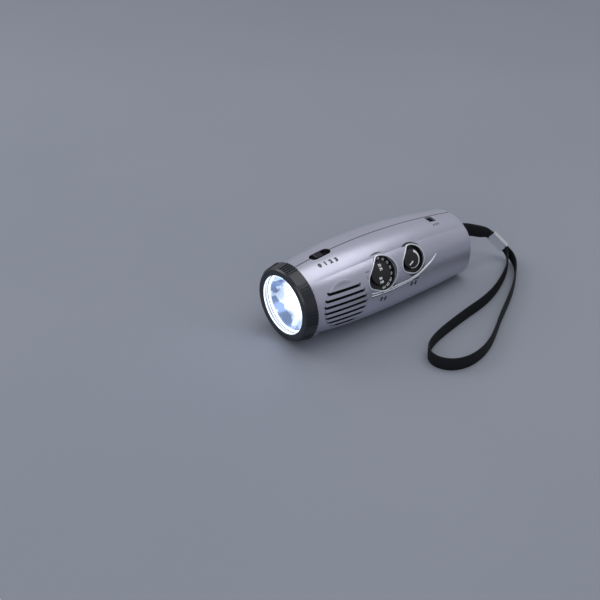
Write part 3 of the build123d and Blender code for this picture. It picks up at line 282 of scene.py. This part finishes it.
def grille_mask(n, axes):
    """1 on the walls of the grille's slots, which face up or down."""
    centre = at(*GRILLE)
    off_x = n.math("SUBTRACT", axes[0], centre.x)
    off_z = n.math("SUBTRACT", axes[2], centre.z)
    near = n.math("LESS_THAN", n.hypotenuse(off_x, off_z), GRILLE_REACH * MM)
    outer = n.math("LESS_THAN", axes[1], at(0, GRILLE_INNER_Y, 0).y)
    normal = n.split(n.tree.nodes.new("ShaderNodeTexCoord").outputs["Normal"])
    wall = n.remap(n.math("ABSOLUTE", normal[2]), 0.5, 0.7, 0.0, 1.0)
    return n.multiply(n.multiply(near, outer), wall)


def shell_material():
    """Silver lacquer, with painted shade, near black and not metallic, in the dial wells, the
    recesses, the seam and the grille's slots.
    """
    n = Nodes("silver_lacquer")
    cloud = n.noise(24.0, 4.0)
    silver = n.ramp(cloud, [(0.3, (0.470, 0.470, 0.565)), (0.7, (0.510, 0.510, 0.605))])
    axes = n.split(n.coords)
    painted_shade_masks = [well_mask(n, centre, reach) for centre, reach in WELLS]
    for low, high, rim in RECESSES:
        box = box_mask(n, axes, at(*low), at(*high))
        painted_shade_masks.append(n.multiply(box, under_slope(n, axes, *rim)))
    painted_shade_masks += [seam_mask(n, axes), grille_mask(n, axes)]
    inside = painted_shade_masks[0]
    for mask in painted_shade_masks[1:]:
        inside = n.math("MAXIMUM", inside, mask)
    # Painted shade: near black and not metallic wherever one of the masks is set
    n.set(Base_Color=n.mix(inside, silver, (0.010, 0.010, 0.012, 1)))
    n.set(Metallic=n.multiply(n.math("SUBTRACT", 1.0, inside), 0.62))
    gloss = n.remap(n.noise(120.0), 0.3, 0.7, 0.31, 0.37)
    n.set(Roughness=gloss, Coat_Weight=0.15, Coat_Roughness=0.15)
    return n.material


PICK_PITCH = 1.1
RIB_PITCH = 1.2
ZIGZAG_WIDTH = 1.2


def webbing_material():
    """Black webbing: slanted picks across the width, and ribs along it, on UVs in metres."""
    n = Nodes("black_webbing")
    uv = n.tree.nodes.new("ShaderNodeTexCoord").outputs["UV"]
    along, across, _ = n.split(uv)
    zigzag = n.math("PINGPONG", across, ZIGZAG_WIDTH * MM)
    pick = n.math("SINE", n.multiply(n.add(along, zigzag), math.tau / (PICK_PITCH * MM)))
    rib = n.math("SINE", n.multiply(across, math.tau / (RIB_PITCH * MM)))
    height = n.add(n.multiply(pick, 0.5), n.multiply(rib, 0.35))
    weave = n.remap(height, -0.8, 0.8, 0.0, 1.0)
    tone = n.add(n.multiply(weave, 0.75), n.multiply(n.noise(1400.0), 0.25))
    n.set(Base_Color=n.ramp(tone, [(0.25, (0.003, 0.003, 0.004)), (0.8, (0.013, 0.013, 0.016))]))
    n.set(Roughness=0.7, Specular_IOR_Level=0.22)
    n.bump(height, 0.5, 0.18 * MM)
    return n.material


def lens_material():
    """Clear plastic: what lies behind shows through, with reflections at its surface."""
    n = Nodes("clear_lens")
    tint = n.ramp(n.noise(30.0, 2.0), [(0.3, (0.80, 0.86, 1.0)), (0.7, (0.9, 0.94, 1.0))])
    n.set(Base_Color=tint, Metallic=1.0)
    n.set(Roughness=n.remap(n.noise(60.0, 2.0), 0.3, 0.7, 0.02, 0.07))
    clear = n.tree.nodes.new("ShaderNodeBsdfTransparent")
    clear.inputs["Color"].default_value = (0.98, 0.99, 1.0, 1)
    edge = n.tree.nodes.new("ShaderNodeLayerWeight")
    edge.inputs["Blend"].default_value = 0.5
    shine = n.add(n.multiply(n.math("POWER", edge.outputs["Facing"], 4.0), 0.5), 0.03)
    mix = n.tree.nodes.new("ShaderNodeMixShader")
    n.link(shine, mix.inputs[0])
    n.link(clear.outputs[0], mix.inputs[1])
    n.link(n.shader.outputs[0], mix.inputs[2])
    n.link(mix.outputs[0], n.tree.nodes["Material Output"].inputs["Surface"])
    return n.material


# Colours of the painted lamp light on the reflector, the ring's lip and the gasket, and the reach
# of the painted glow on the ring's lip
LAMP_WHITE = (0.97, 0.98, 1.0, 1)
COOL_WHITE = (0.85, 0.92, 1.0, 1)
LIP_R = 22.42
LIP_DEPTH = 2.2


def lamp_distances(n):
    """How far a place is behind the ring's front, and how far from the lamp's axis."""
    x, y, z = n.split(n.vector("SUBTRACT", n.coords, tuple(at(0, 0, 0))))
    return x, n.hypotenuse(y, z)


def reflector_material():
    """Dish with painted lamp light and painted reflections: a white painted glow at the core and
    rim, and blue and pale painted reflections in patches between, which glow a little too.
    """
    n = Nodes("lit_reflector")
    radius = lamp_distances(n)[1]
    core = n.remap(radius, 14.0 * MM, 17.5 * MM, 1.0, 0.0)
    rim = n.remap(radius, 20.8 * MM, 21.6 * MM, 0.0, 1.0)
    # Painted lamp light on the core and rim
    lit = n.math("MAXIMUM", core, rim)
    patch = n.noise(88.0, 2.0)
    patches = n.remap(patch, 0.47, 0.53, 0.0, 1.0)
    painted_reflections = n.mix(patches, (0.26, 0.36, 0.60, 1), (0.80, 0.86, 0.97, 1))
    n.set(Base_Color=n.mix(lit, painted_reflections, LAMP_WHITE))
    n.set(Metallic=0.85, Roughness=n.remap(patch, 0.3, 0.7, 0.12, 0.24))
    # Painted glow all over the dish, strongest at the core and rim
    glow = n.math("MAXIMUM", n.add(n.multiply(patches, 0.42), 0.10), n.multiply(lit, 1.5))
    n.set(Emission_Color=n.mix(lit, (0.62, 0.76, 1.0, 1), LAMP_WHITE), Emission_Strength=glow)
    return n.material


def ring_material():
    """Dark moulded plastic, with painted lamp light on the lip's inner wall: a pale colour and a
    glow.
    """
    n = Nodes("ring_plastic")
    depth, radius = lamp_distances(n)
    # Painted lamp light: where the lip's inner wall lies, a pale colour and a glow
    lit = n.multiply(
        n.math("LESS_THAN", radius, LIP_R * MM), n.math("LESS_THAN", depth, LIP_DEPTH * MM)
    )
    cloud = n.noise(CLOUD_SCALE, 4.0)
    dark = n.ramp(cloud, [(0.32, (0.012, 0.013, 0.019)), (0.68, (0.016, 0.017, 0.025))])
    n.set(Base_Color=n.mix(lit, dark, (0.7, 0.75, 0.85, 1)))
    n.set(Emission_Color=COOL_WHITE, Emission_Strength=n.multiply(lit, 0.75))
    n.set(Roughness=n.remap(n.noise(GLOSS_SCALE), 0.3, 0.7, 0.31, 0.42))
    n.set(Coat_Weight=0.15, Coat_Roughness=0.12)
    n.bump(n.noise(700.0, 2.0), 0.05, GRAIN_DEPTH)
    return n.material


def gasket_material():
    """Soft pale ring behind the lens's edge, with a painted glow from the lamp's light."""
    n = Nodes("lit_gasket")
    n.set(Base_Color=n.ramp(n.noise(90.0), [(0.3, (0.62, 0.66, 0.74)), (0.7, (0.72, 0.76, 0.84))]))
    # Painted glow from the lamp's light
    n.set(Emission_Color=COOL_WHITE, Emission_Strength=0.7, Roughness=0.6)
    return n.material


def lamp_material():
    """The white lamp, lit."""
    n = Nodes("lit_lamp")
    n.set(Base_Color=n.ramp(n.noise(400.0), [(0.3, (0.9, 0.93, 0.97)), (0.7, (1, 1, 1))]))
    n.set(Emission_Color=(0.93, 0.97, 1.0, 1), Emission_Strength=9.0, Roughness=0.25)
    return n.material


def dress_nodes():
    """Every shown CAD node gets its finish."""
    shell = shell_material()
    black = plain_surface("black_plastic", (0.010, 0.009, 0.010), 0.36, 0.0, 0.2, 700.0, 0.03)
    knob = plain_surface("knob_plastic", (0.014, 0.014, 0.017), 0.42, 0.0, 0.2, 700.0, 0.05)
    chrome = plain_surface("chrome_plate", (0.88, 0.89, 0.92), 0.16, 1.0, 0.03, 700.0, 0.02)
    steel = plain_surface("plain_steel", (0.46, 0.46, 0.48), 0.36, 1.0, 0.08, 800.0, 0.08)
    paper = plain_surface("cone_paper", (0.018, 0.018, 0.02), 0.8, 0.0, 0.2, 500.0, 0.3)
    board = plain_surface("board_green", (0.02, 0.11, 0.05), 0.45, 0.0, 0.15, 600.0, 0.1)
    ferrite = plain_surface("dark_ferrite", (0.05, 0.05, 0.055), 0.55, 0.0, 0.2, 400.0, 0.2)
    copper = plain_surface("winding_copper", (0.55, 0.22, 0.10), 0.32, 1.0, 0.15, 300.0, 0.3)
    cream = plain_surface("cream_plastic", (0.62, 0.57, 0.42), 0.5, 0.0, 0.06, 500.0, 0.08)
    white = plain_surface("gear_plastic", (0.72, 0.72, 0.68), 0.42, 0.0, 0.04, 500.0, 0.06)
    brass = plain_surface("turned_brass", (0.62, 0.44, 0.16), 0.28, 1.0, 0.08, 500.0, 0.08)
    green = plain_surface("cell_green", (0.03, 0.16, 0.07), 0.35, 0.1, 0.08, 500.0, 0.05)
    blue = plain_surface("sleeve_blue", (0.03, 0.06, 0.22), 0.3, 0.0, 0.1, 300.0, 0.1)
    finishes = {
        shell: ("control_shell", "crank_shell", "crank_arm"),
        ring_material(): ("head_ring",),
        lens_material(): ("lens",),
        reflector_material(): ("reflector",),
        lamp_material(): ("led_lamp",),
        black: ("tuning_dial", "volume_dial", "lamp_housing", "charge_jack"),
        knob: ("switch_knob", "crank_knob"),
        chrome: ("strap_ferrule",),
        steel: (
            "case_screws",
            "crank_screw",
            "crank_shaft",
            "fold_pin",
            "knob_spindle",
            "strap_pin",
            "speaker_basket",
            "volume_pot",
            "switch_body",
            "gear_plate",
            "idler_axle",
            "rotor_shaft",
            "generator_yoke",
        ),
        gasket_material(): ("lens_gasket",),
        paper: ("speaker_cone",),
        board: ("circuit_board", "led_board"),
        ferrite: ("speaker_magnet", "antenna_rod", "rotor_magnet"),
        copper: ("antenna_coil", "generator_coil"),
        cream: ("tuning_capacitor",),
        white: ("crank_gear", "idler_gear"),
        brass: ("rotor_pinion",),
        green: ("battery_cells",),
        blue: ("battery_sleeve",),
    }
    for material, names in finishes.items():
        for name in names:
            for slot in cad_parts[name].material_slots:
                slot.material = material


# ------------------------------------------------------------------ pieces


def add_piece(name, mesh, material, body):
    """A dressed piece that rides on a body."""
    piece = bpy.data.objects.new(name, mesh)
    bpy.context.scene.collection.objects.link(piece)
    mesh.materials.append(material)
    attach(piece, body)
    return piece


def mesh_from(name, points, faces):
    """A smooth mesh."""
    mesh = bpy.data.meshes.new(name)
    mesh.from_pydata([tuple(p) for p in points], [], faces)
    mesh.polygons.foreach_set("use_smooth", [True] * len(mesh.polygons))
    mesh.update()
    return mesh


def sheet_faces(rows, columns, base=0, close_rows=False, close_columns=False):
    """Quads over rows of points, counted from base, closed to a tube where asked."""
    faces = []
    for i in range(rows if close_rows else rows - 1):
        a = base + i * columns
        b = base + (i + 1) % rows * columns
        for j in range(columns if close_columns else columns - 1):
            k = (j + 1) % columns
            faces.append((a + j, a + k, b + k, b + j))
    return faces


# ------------------------------------------------------------------ strap, in mm

STRAP_WIDTH = 10.0
STRAP_T = 1.2
# Near the ferrule the webbing is pinched, and its ends lie inside the ferrule
PINCHED_WIDTH = 7.3
PINCH_LENGTH = 12.0
LEG_IN = 4.5
LEG_SPREAD = 0.75
MOUTH_STRAIGHT = 2.5
CORNER_STEPS = 4
CORNER_SHARE = 0.8
PIN_X = 160.4
PIN_Z = 1.5
PIN_R = 1.5
PIN_GAP = 0.1
FERRULE_START = Vector((206.5, -8.9, -10.5))
FERRULE_END = Vector((212.6, -18.8, -20.5))
ALONG = (FERRULE_END - FERRULE_START).normalized()
ACROSS = Vector((ALONG.y, -ALONG.x, 0)).normalized()
# Places between the pin and the ferrule, with the distance of each leg from there
SMALL_ROUTE_MIDDLE = [
    (163.5, 0.0, 1.5, 2.25),
    (172.0, -0.4, 1.4, 1.9),
    (184.5, -2.6, -0.6, 1.35),
    (196.3, -6.0, -5.5, 0.95),
]
WRIST_ROUTE = [
    (213.4, -21.5, -22.8),
    (207.0, -28.6, -24.6),
    (196.4, -37.5, -24.9),
    (181.9, -46.3, -24.9),
    (163.5, -55.2, -24.9),
    (145.2, -60.7, -24.9),
    (122.9, -64.1, -24.9),
    (101.5, -68.4, -24.9),
    (85.5, -72.3, -24.9),
    (74.0, -77.0, -24.9),
    (66.7, -82.4, -24.9),
    (63.1, -89.8, -24.9),
    (63.9, -97.4, -24.9),
    (69.8, -105.1, -24.9),
    (81.0, -108.9, -24.9),
    (95.0, -107.5, -24.9),
    (108.8, -102.6, -24.9),
    (122.7, -94.8, -24.9),
    (136.7, -85.6, -24.9),
    (152.8, -76.3, -24.9),
    (168.8, -66.8, -24.9),
    (184.1, -56.7, -24.9),
    (197.3, -46.1, -24.9),
    (207.6, -36.0, -24.2),
    (214.8, -21.0, -23.1),
]


def smooth_line(name, route):
    """Points of a NURBS line that has the route's points as its control points."""
    curve = bpy.data.curves.new(name, "CURVE")
    curve.dimensions = "3D"
    curve.resolution_u = 6
    spline = curve.splines.new("NURBS")
    spline.points.add(len(route) - 1)
    for point, place in zip(spline.points, route):
        point.co = (*at(*place), 1)
    spline.order_u = 3
    spline.use_endpoint_u = True
    holder = bpy.data.objects.new(name, curve)
    bpy.context.scene.collection.objects.link(holder)
    mesh = bpy.data.meshes.new_from_object(holder)
    points = [v.co.copy() for v in mesh.vertices]
    bpy.data.objects.remove(holder)
    bpy.data.curves.remove(curve)
    bpy.data.meshes.remove(mesh)
    return points


def band_profile(to_end):
    """The webbing's section at a distance from its end, as (across, up) in metres."""
    share = min(1.0, max(0.0, (to_end / MM - LEG_IN) / PINCH_LENGTH))
    half_t = STRAP_T * MM / 2
    half_w = (PINCHED_WIDTH + (STRAP_WIDTH - PINCHED_WIDTH) * share) * MM / 2
    rounding = half_t * CORNER_SHARE
    rim = half_w - rounding
    rows = []
    for start, middle in ((0.0, rim), (math.pi, -rim)):
        for i in range(CORNER_STEPS + 1):
            angle = start + math.pi * i / CORNER_STEPS
            rows.append((half_t * math.cos(angle), middle + rounding * math.sin(angle)))
        rows.append((half_t * math.cos(start + math.pi), 0.0))
    return rows


def band_mesh(name, line):
    """Webbing that stands on its edge along a line, with UVs in metres."""
    lengths = [0.0]
    for a, b in zip(line, line[1:]):
        lengths.append(lengths[-1] + (b - a).length)
    profiles = [band_profile(min(run, lengths[-1] - run)) for run in lengths]
    count = len(profiles[0])
    points = []
    for i, place in enumerate(line):
        ahead = line[min(i + 1, len(line) - 1)] - line[max(i - 1, 0)]
        level = Vector((ahead.x, ahead.y, 0)).normalized()
        side = Vector((-level.y, level.x, 0))
        for across, up in profiles[i]:
            points.append(place + side * across + Vector((0, 0, up)))
    faces = sheet_faces(len(line), count, close_columns=True)
    faces.append(tuple(reversed(range(count))))
    faces.append(tuple(range((len(line) - 1) * count, len(line) * count)))
    mesh = mesh_from(name, points, faces)
    layer = mesh.uv_layers.new(name="weave")
    for loop in mesh.loops:
        ring, j = divmod(loop.vertex_index, count)
        layer.data[loop.index].uv = (lengths[ring], profiles[ring][j][1])
    mesh.polygons[-1].use_smooth = False
    mesh.polygons[-2].use_smooth = False
    return mesh


def small_loop_route():
    """From the ferrule to the pin inside the housing, round it and back."""
    reach = PIN_R + PIN_GAP + STRAP_T / 2
    middles = [Vector(row[:3]) for row in SMALL_ROUTE_MIDDLE] + [FERRULE_START]
    legs = []
    for side in (1, -1):
        points = [Vector((PIN_X - reach, -reach * side, PIN_Z))]
        for row, following in zip(SMALL_ROUTE_MIDDLE, middles[1:]):
            ahead = following - Vector(row[:3])
            across = Vector((ahead.y, -ahead.x, 0)).normalized()
            points.append(Vector(row[:3]) + across * row[3] * side)
        mouth = FERRULE_START + ACROSS * LEG_SPREAD * side - ALONG * MOUTH_STRAIGHT
        points += [mouth, mouth + ALONG * (MOUTH_STRAIGHT + LEG_IN)]
        legs.append(points)
    return list(reversed(legs[0])) + legs[1]


def add_strap():
    """The small loop and the wrist strap, as woven bands in place of their CAD nodes."""
    webbing = webbing_material()
    inside = FERRULE_END - ALONG * LEG_IN
    wrist_ends = [inside + ACROSS * LEG_SPREAD], [inside - ACROSS * LEG_SPREAD]
    wrist_route = wrist_ends[0] + WRIST_ROUTE + wrist_ends[1]
    for name, route in (("strap_small_loop", small_loop_route()), ("wrist_strap", wrist_route)):
        line = smooth_line(name + "_line", route)
        piece = add_piece(name + "_webbing", band_mesh(name + "_webbing", line), webbing, HOUSING)
        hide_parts(name)


# ------------------------------------------------------------------ marks on the shell


def shell_tree():
    """The control shell's surface, for rays."""
    graph = bpy.context.evaluated_depsgraph_get()
    return BVHTree.FromObject(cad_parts["control_shell"], graph)


def on_shell(tree, start, direction, rise):
    """Where a ray meets the shell, raised a little towards the ray's start."""
    hit, normal, _, _ = tree.ray_cast(start, direction)
    if normal.dot(direction) > 0:
        normal = -normal
    return hit + normal * rise * MM


def on_side(tree, x, z, rise):
    """A place on the control side at x, z."""
    return on_shell(tree, at(x, -60, z), Vector((0, 1, 0)), rise)


def on_top(tree, x, y, rise):
    """A place on the top at x, y."""
    return on_shell(tree, at(x, y, 60), Vector((0, 0, -1)), rise)


def cubic_line(points, steps):
    """Catmull-Rom points through a given list of (x, z)."""
    padded = [points[0]] + list(points) + [points[-1]]
    rows = []
    for i in range(len(points) - 1):
        p0, p1, p2, p3 = (Vector(p) for p in padded[i : i + 4])
        for j in range(steps):
            t = j / steps
            rows.append(
                0.5
                * (
                    2 * p1
                    + (p2 - p0) * t
                    + (2 * p0 - 5 * p1 + 4 * p2 - p3) * t * t
                    + (3 * p1 - p0 - 3 * p2 + p3) * t**3
                )
            )
    rows.append(Vector(points[-1]))
    return rows


SWOOSH = [(57.0, 1.8), (69.4, 0.5), (84.6, 0.1), (100.5, 0.7), (117.3, 5.7), (125.1, 9.7)]
# Name, distance to the side of the middle line, half width and rise
SWOOSH_LINES = (("swoosh_line_1", 1, 0.50, 0.30), ("swoosh_line_2", -1, 0.50, 0.30))
# The dark lines are painted shadow between and beside the raised lines
SWOOSH_SHADES = (("swoosh_shade_1", 0.02, 0.34, 0.05), ("swoosh_shade_2", -1.95, 0.32, 0.05))
# Start and end in x, z, then width
SIDE_STROKES = (
    ((67.2, -3.4), (65.7, -6.2), 1.9),
    ((70.9, -4.3), (69.4, -7.1), 1.9),
    ((98.0, -2.6), (96.5, -5.4), 1.9),
    ((102.1, -3.3), (100.6, -6.1), 1.9),
    ((97.3, -0.7), (104.6, -1.9), 0.8),
)
STROKE_STEPS = 6
JACK_STROKES = ((137.4, -11.6), (140.0, -11.3), (142.4, -11.0))
JACK_STROKE_CORNERS = ((-0.5, -0.9), (0.5, -0.9), (0.5, 0.9), (-0.5, 0.9))
# Two bars of painted shade in a notch, each given by two corners x, z
NOTCH_BARS = (((55.2, 18.6), (58.3, 19.2)), ((55.2, 19.2), (55.8, 14.5)))


def add_swoosh(tree):
    """Two raised lines with painted highlight, and two lines of painted shadow between and beside
    them, which run together to a point at the rear.
    """
    # Painted highlight on the raised lines, and painted shadow beside them
    bright = plain_surface("swoosh_painted_highlight", (0.88, 0.90, 0.94), 0.25, 0.35, 0.03, 500.0, 0.02)
    dark = plain_surface("swoosh_painted_shadow", (0.10, 0.11, 0.13), 0.4, 0.2, 0.08, 500.0, 0.02)
    line = cubic_line(SWOOSH, 10)
    last = len(line) - 1
    rows = [(*row, bright) for row in SWOOSH_LINES] + [(*row, dark) for row in SWOOSH_SHADES]
    for name, side, wide, rise, material in rows:
        points = []
        for i, place in enumerate(line):
            share = i / last
            ahead = (line[min(i + 1, last)] - line[max(i - 1, 0)]).normalized()
            across = Vector((-ahead.y, ahead.x))
            middle = place + across * side * (1 - share) ** 0.7
            half = wide * (1 - share) ** 0.45 + 0.05
            inner = half * 0.6
            for offset, height in ((-half, 0.0), (-inner, rise), (inner, rise), (half, 0.0)):
                spot = middle + across * offset
                points.append(on_side(tree, spot.x, spot.y, height + 0.02))
        faces = sheet_faces(len(line), 4)
        add_piece(name, mesh_from(name, points, faces), material, HOUSING)


def add_patches(name, patches, material):
    """Flat marks with four corners each."""
    points = [corner for patch in patches for corner in patch]
    faces = [tuple(range(i, i + 4)) for i in range(0, len(points), 4)]
    add_piece(name, mesh_from(name, points, faces), material, HOUSING)


def add_strokes(tree):
    """Short plain strokes under the two dials and beside the jack."""
    ink = plain_surface("stroke_ink", (0.02, 0.02, 0.024), 0.5, 0.0, 0.1, 700.0, 0.02)
    points = []
    faces = []
    for start, end, width in SIDE_STROKES:
        start, end = Vector(start), Vector(end)
        ahead = (end - start).normalized()
        across = Vector((-ahead.y, ahead.x)) * width / 2
        faces += sheet_faces(STROKE_STEPS + 1, 2, base=len(points))
        for i in range(STROKE_STEPS + 1):
            middle = start + (end - start) * i / STROKE_STEPS
            for spot in (middle - across, middle + across):
                points.append(on_side(tree, spot.x, spot.y, 0.09))
    add_piece("side_strokes", mesh_from("side_strokes", points, faces), ink, HOUSING)
    patches = [
        [on_top(tree, x + dx, y + dy, 0.05) for dx, dy in JACK_STROKE_CORNERS]
        for x, y in JACK_STROKES
    ]
    add_patches("jack_strokes", patches, ink)


def add_notch_mark(tree):
    """Painted shade in a shallow notch ahead of the tuning dial: two thin bars that meet in a
    corner.
    """
    # Painted shade
    shade = plain_surface("notch_shade", (0.16, 0.17, 0.20), 0.4, 0.3, 0.08, 500.0, 0.02)
    patches = [
        [on_side(tree, x, z, 0.04) for x, z in ((x0, z0), (x1, z0), (x1, z1), (x0, z1))]
        for (x0, z0), (x1, z1) in NOTCH_BARS
    ]
    add_patches("notch_mark", patches, shade)


# ------------------------------------------------------------------ numbers and dials


def text_mesh(words, height, bold):
    """Flat text round its own centre, its outline grown by bold, both in mm."""
    curve = bpy.data.curves.new("words", "FONT")
    curve.offset = bold * MM
    curve.body = words
    curve.size = height * MM
    curve.align_x = "CENTER"
    curve.align_y = "CENTER"
    curve.resolution_u = 2
    holder = bpy.data.objects.new("words", curve)
    bpy.context.scene.collection.objects.link(holder)
    mesh = bpy.data.meshes.new_from_object(holder)
    bpy.data.objects.remove(holder)
    bpy.data.curves.remove(curve)
    return mesh


def joined_mesh(name, meshes):
    """One mesh from several, which are removed."""
    joined = bmesh.new()
    for mesh in meshes:
        joined.from_mesh(mesh)
        bpy.data.meshes.remove(mesh)
    result = bpy.data.meshes.new(name)
    joined.to_mesh(result)
    joined.free()
    return result


def dial_frame(centre, height):
    """Matrix from a dial's plane, raised by a height in mm, to the row frame."""
    origin = at(*centre) + DIAL_OUT * height * MM
    columns = (Vector((1, 0, 0)), DIAL_UP, DIAL_OUT)
    rows = [tuple(column[i] for column in columns) + (origin[i],) for i in range(3)]
    return Matrix(rows + [(0, 0, 0, 1)])


KNOB_WALL = 2.4
CROWN_RISE = 1.2
CROWN_INSET = 0.5


def knob_height(radius, knob_radius):
    """Height of a knob's crowned top over the dial's plane, in mm."""
    crown_r = knob_radius - CROWN_INSET
    ball = (crown_r**2 + CROWN_RISE**2) / (2 * CROWN_RISE)
    edge = -FLANGE_DEPTH + KNOB_WALL
    return edge + CROWN_RISE - (ball - math.sqrt(ball**2 - radius**2))


FLANGE_NUMBERS = ("53", "60", "70", "80", "90", "100", "120", "160")
FLANGE_NUMBERS_R = 10.95
FLANGE_NUMBERS_START = 74.0
FLANGE_NUMBERS_STEP = 23.0
# Word, its height, and its place x, y on the knob
KNOB_NUMBERS = (
    ("76", 2.7, 0.2, 5.6),
    ("79", 2.7, 0.2, 2.7),
    ("90", 2.7, -2.4, -3.6),
    ("108", 2.3, -2.2, -6.4),
)


def add_dial_numbers(paint):
    """Plain numbers in an arc on the tuning dial's flange, and two pairs on its knob."""
    on_flange = dial_frame(TUNING, -FLANGE_DEPTH + 0.03)
    meshes = []
    for i, word in enumerate(FLANGE_NUMBERS):
        mesh = text_mesh(word, 2.3, 0.10)
        angle = math.radians(FLANGE_NUMBERS_START - FLANGE_NUMBERS_STEP * i)
        radius = FLANGE_NUMBERS_R * MM
        spot = Matrix.Translation((radius * math.cos(angle), radius * math.sin(angle), 0))
        turn = Matrix.Rotation(angle - math.pi / 2, 4, "Z")
        mesh.transform(on_flange @ spot @ turn)
        meshes.append(mesh)
    to_row = dial_frame(TUNING, 0)
    for word, height, x, y in KNOB_NUMBERS:
        mesh = text_mesh(word, height, 0.13)
        for vertex in mesh.vertices:
            spot = vertex.co / MM + Vector((x, y, 0))
            spot.z = knob_height(spot.xy.length, TUNING_KNOB_R) + 0.05
            vertex.co = to_row @ (spot * MM)
        meshes.append(mesh)
    add_piece("tuning_numbers", joined_mesh("tuning_numbers", meshes), paint, "tuning_dial")


# The corner that an opening is drawn out to and its rounding, as shares of the opening's
# radius, and the direction of the straight cut above that corner
CORNER = Vector((-0.74, -0.3))
CORNER_R = 0.42
CUT_SIDE = Vector((-math.sqrt(0.5), math.sqrt(0.5)))
OUTLINE_STEPS = 180
# Piece, dial, radius of its opening, and distance of the cut from the dial's axis
OPENINGS = (("tuning_bead", TUNING, 12.6, 9.8), ("volume_bead", VOLUME, 10.3, 8.4))
BEAD_STEPS = 72
BEAD_PROFILE = ((0.15, 0.02), (0.35, 0.14), (0.65, 0.14), (0.85, 0.02))


def opening_reach(ahead, radius, chord, grow):
    """From a dial's axis to its opening's edge: a circle drawn out to a corner and cut."""
    reach = (chord + grow) / max(0.01, CUT_SIDE.dot(ahead))
    for i in range(OUTLINE_STEPS):
        angle = math.tau * i / OUTLINE_STEPS
        out = Vector((math.cos(angle), math.sin(angle)))
        along = out.dot(ahead)
        if along > 0.05:
            edge = max(radius, (CORNER.dot(out) + CORNER_R) * radius)
            reach = min(reach, (edge + grow) / along)
    return reach


def add_opening_beads(tree):
    """A thin bead of painted highlight on the raised lip round each dial's opening, with its cut
    corner.
    """
    # Painted highlight along the lip
    bright = plain_surface("bead_painted_highlight", (0.80, 0.81, 0.85), 0.25, 0.5, 0.03, 500.0, 0.02)
    for name, centre, radius, chord in OPENINGS:
        to_row = dial_frame(centre, 0)
        points = []
        for i in range(BEAD_STEPS):
            angle = math.tau * i / BEAD_STEPS
            ahead = Vector((math.cos(angle), math.sin(angle)))
            for out, rise in BEAD_PROFILE:
                spot = ahead * opening_reach(ahead, radius, chord, out)
                start = to_row @ (Vector((spot.x, spot.y, 20.0)) * MM)
                hit = tree.ray_cast(start, -DIAL_OUT)[0]
                points.append(hit + DIAL_OUT * rise * MM)
        faces = sheet_faces(BEAD_STEPS, len(BEAD_PROFILE), close_rows=True)
        add_piece(name, mesh_from(name, points, faces), bright, HOUSING)


WEDGE_STEPS = 40
WEDGE_START = -118.0
WEDGE_SWEEP = 176.0
WEDGE_OUTER_R = 7.0
INDEX_MIDDLE = Vector((-2.2, -2.8))
INDEX_ANGLE = math.radians(29.0)
INDEX_HALF_LENGTH = 2.0
INDEX_HALF_WIDTH = 0.55
INDEX_ROWS = 9


def add_volume_marks(paint):
    """A wedge that grows round the volume knob, and a short index stroke."""
    to_row = dial_frame(VOLUME, 0)
    points = []
    for i in range(WEDGE_STEPS + 1):
        share = i / WEDGE_STEPS
        angle = math.radians(WEDGE_START + WEDGE_SWEEP * share)
        inner = WEDGE_OUTER_R - (0.25 + 1.75 * share**1.3)
        for radius in (inner, WEDGE_OUTER_R):
            height = knob_height(radius, VOLUME_KNOB_R) + 0.04
            spot = Vector((radius * math.cos(angle), radius * math.sin(angle), height))
            points.append(to_row @ (spot * MM))
    faces = sheet_faces(WEDGE_STEPS + 1, 2)
    faces += sheet_faces(INDEX_ROWS, 2, base=len(points))
    ahead = Vector((math.cos(INDEX_ANGLE), math.sin(INDEX_ANGLE)))
    across = Vector((-ahead.y, ahead.x)) * INDEX_HALF_WIDTH
    for i in range(INDEX_ROWS):
        middle = INDEX_MIDDLE + ahead * (2 * i / (INDEX_ROWS - 1) - 1) * INDEX_HALF_LENGTH
        for spot in (middle + across, middle - across):
            height = knob_height(spot.length, VOLUME_KNOB_R) + 0.05
            points.append(to_row @ (Vector((spot.x, spot.y, height)) * MM))
    add_piece("volume_wedge", mesh_from("volume_wedge", points, faces), paint, "volume_dial")


SWITCH_PLACES = (26.6, 31.2, 35.8, 40.4)
SWITCH_NUMBERS_Y = -9.9
SWITCH_NUMBERS_SLOPE = -0.12


def add_switch_marks(tree):
    """Plain numbers beside the mode switch's four places."""
    ink = plain_surface("mark_ink", (0.03, 0.03, 0.035), 0.5, 0.0, 0.1, 900.0, 0.02)
    meshes = []
    for i, x in enumerate(SWITCH_PLACES):
        y = SWITCH_NUMBERS_Y + SWITCH_NUMBERS_SLOPE * (x - SWITCH_PLACES[0])
        mesh = text_mesh(str(i), 4.4, 0.34)
        for vertex in mesh.vertices:
            spot = vertex.co / MM
            vertex.co = on_top(tree, x + spot.x, y + spot.y, 0.09)
        meshes.append(mesh)
    add_piece("switch_numbers", joined_mesh("switch_numbers", meshes), ink, HOUSING)


FLOOR_HALF = 5.0


def add_floor():
    """The plain ground, which isn't part of the object."""
    signs = ((-1, -1), (1, -1), (1, 1), (-1, 1))
    corners = [(FLOOR_HALF * x, FLOOR_HALF * y, 0) for x, y in signs]
    mesh = mesh_from("floor", corners, [(0, 1, 2, 3)])
    floor = bpy.data.objects.new("floor", mesh)
    bpy.context.scene.collection.objects.link(floor)
    n = Nodes("floor_paper")
    cloud = n.noise(3.0, 2.0)
    n.set(Base_Color=n.ramp(cloud, [(0.3, (0.255, 0.275, 0.325)), (0.7, (0.27, 0.29, 0.34))]))
    n.set(Roughness=0.85)
    mesh.materials.append(n.material)


bpy.context.scene.view_settings.view_transform = "Standard"
make_camera()
make_light()
add_floor()
dress_nodes()
add_strap()
side = shell_tree()
add_swoosh(side)
add_strokes(side)
add_notch_mark(side)
add_opening_beads(side)
white_paint = plain_surface("white_print", (0.80, 0.81, 0.83), 0.45, 0.0, 0.04, 900.0, 0.02)
add_dial_numbers(white_paint)
add_volume_marks(white_paint)
add_switch_marks(side)
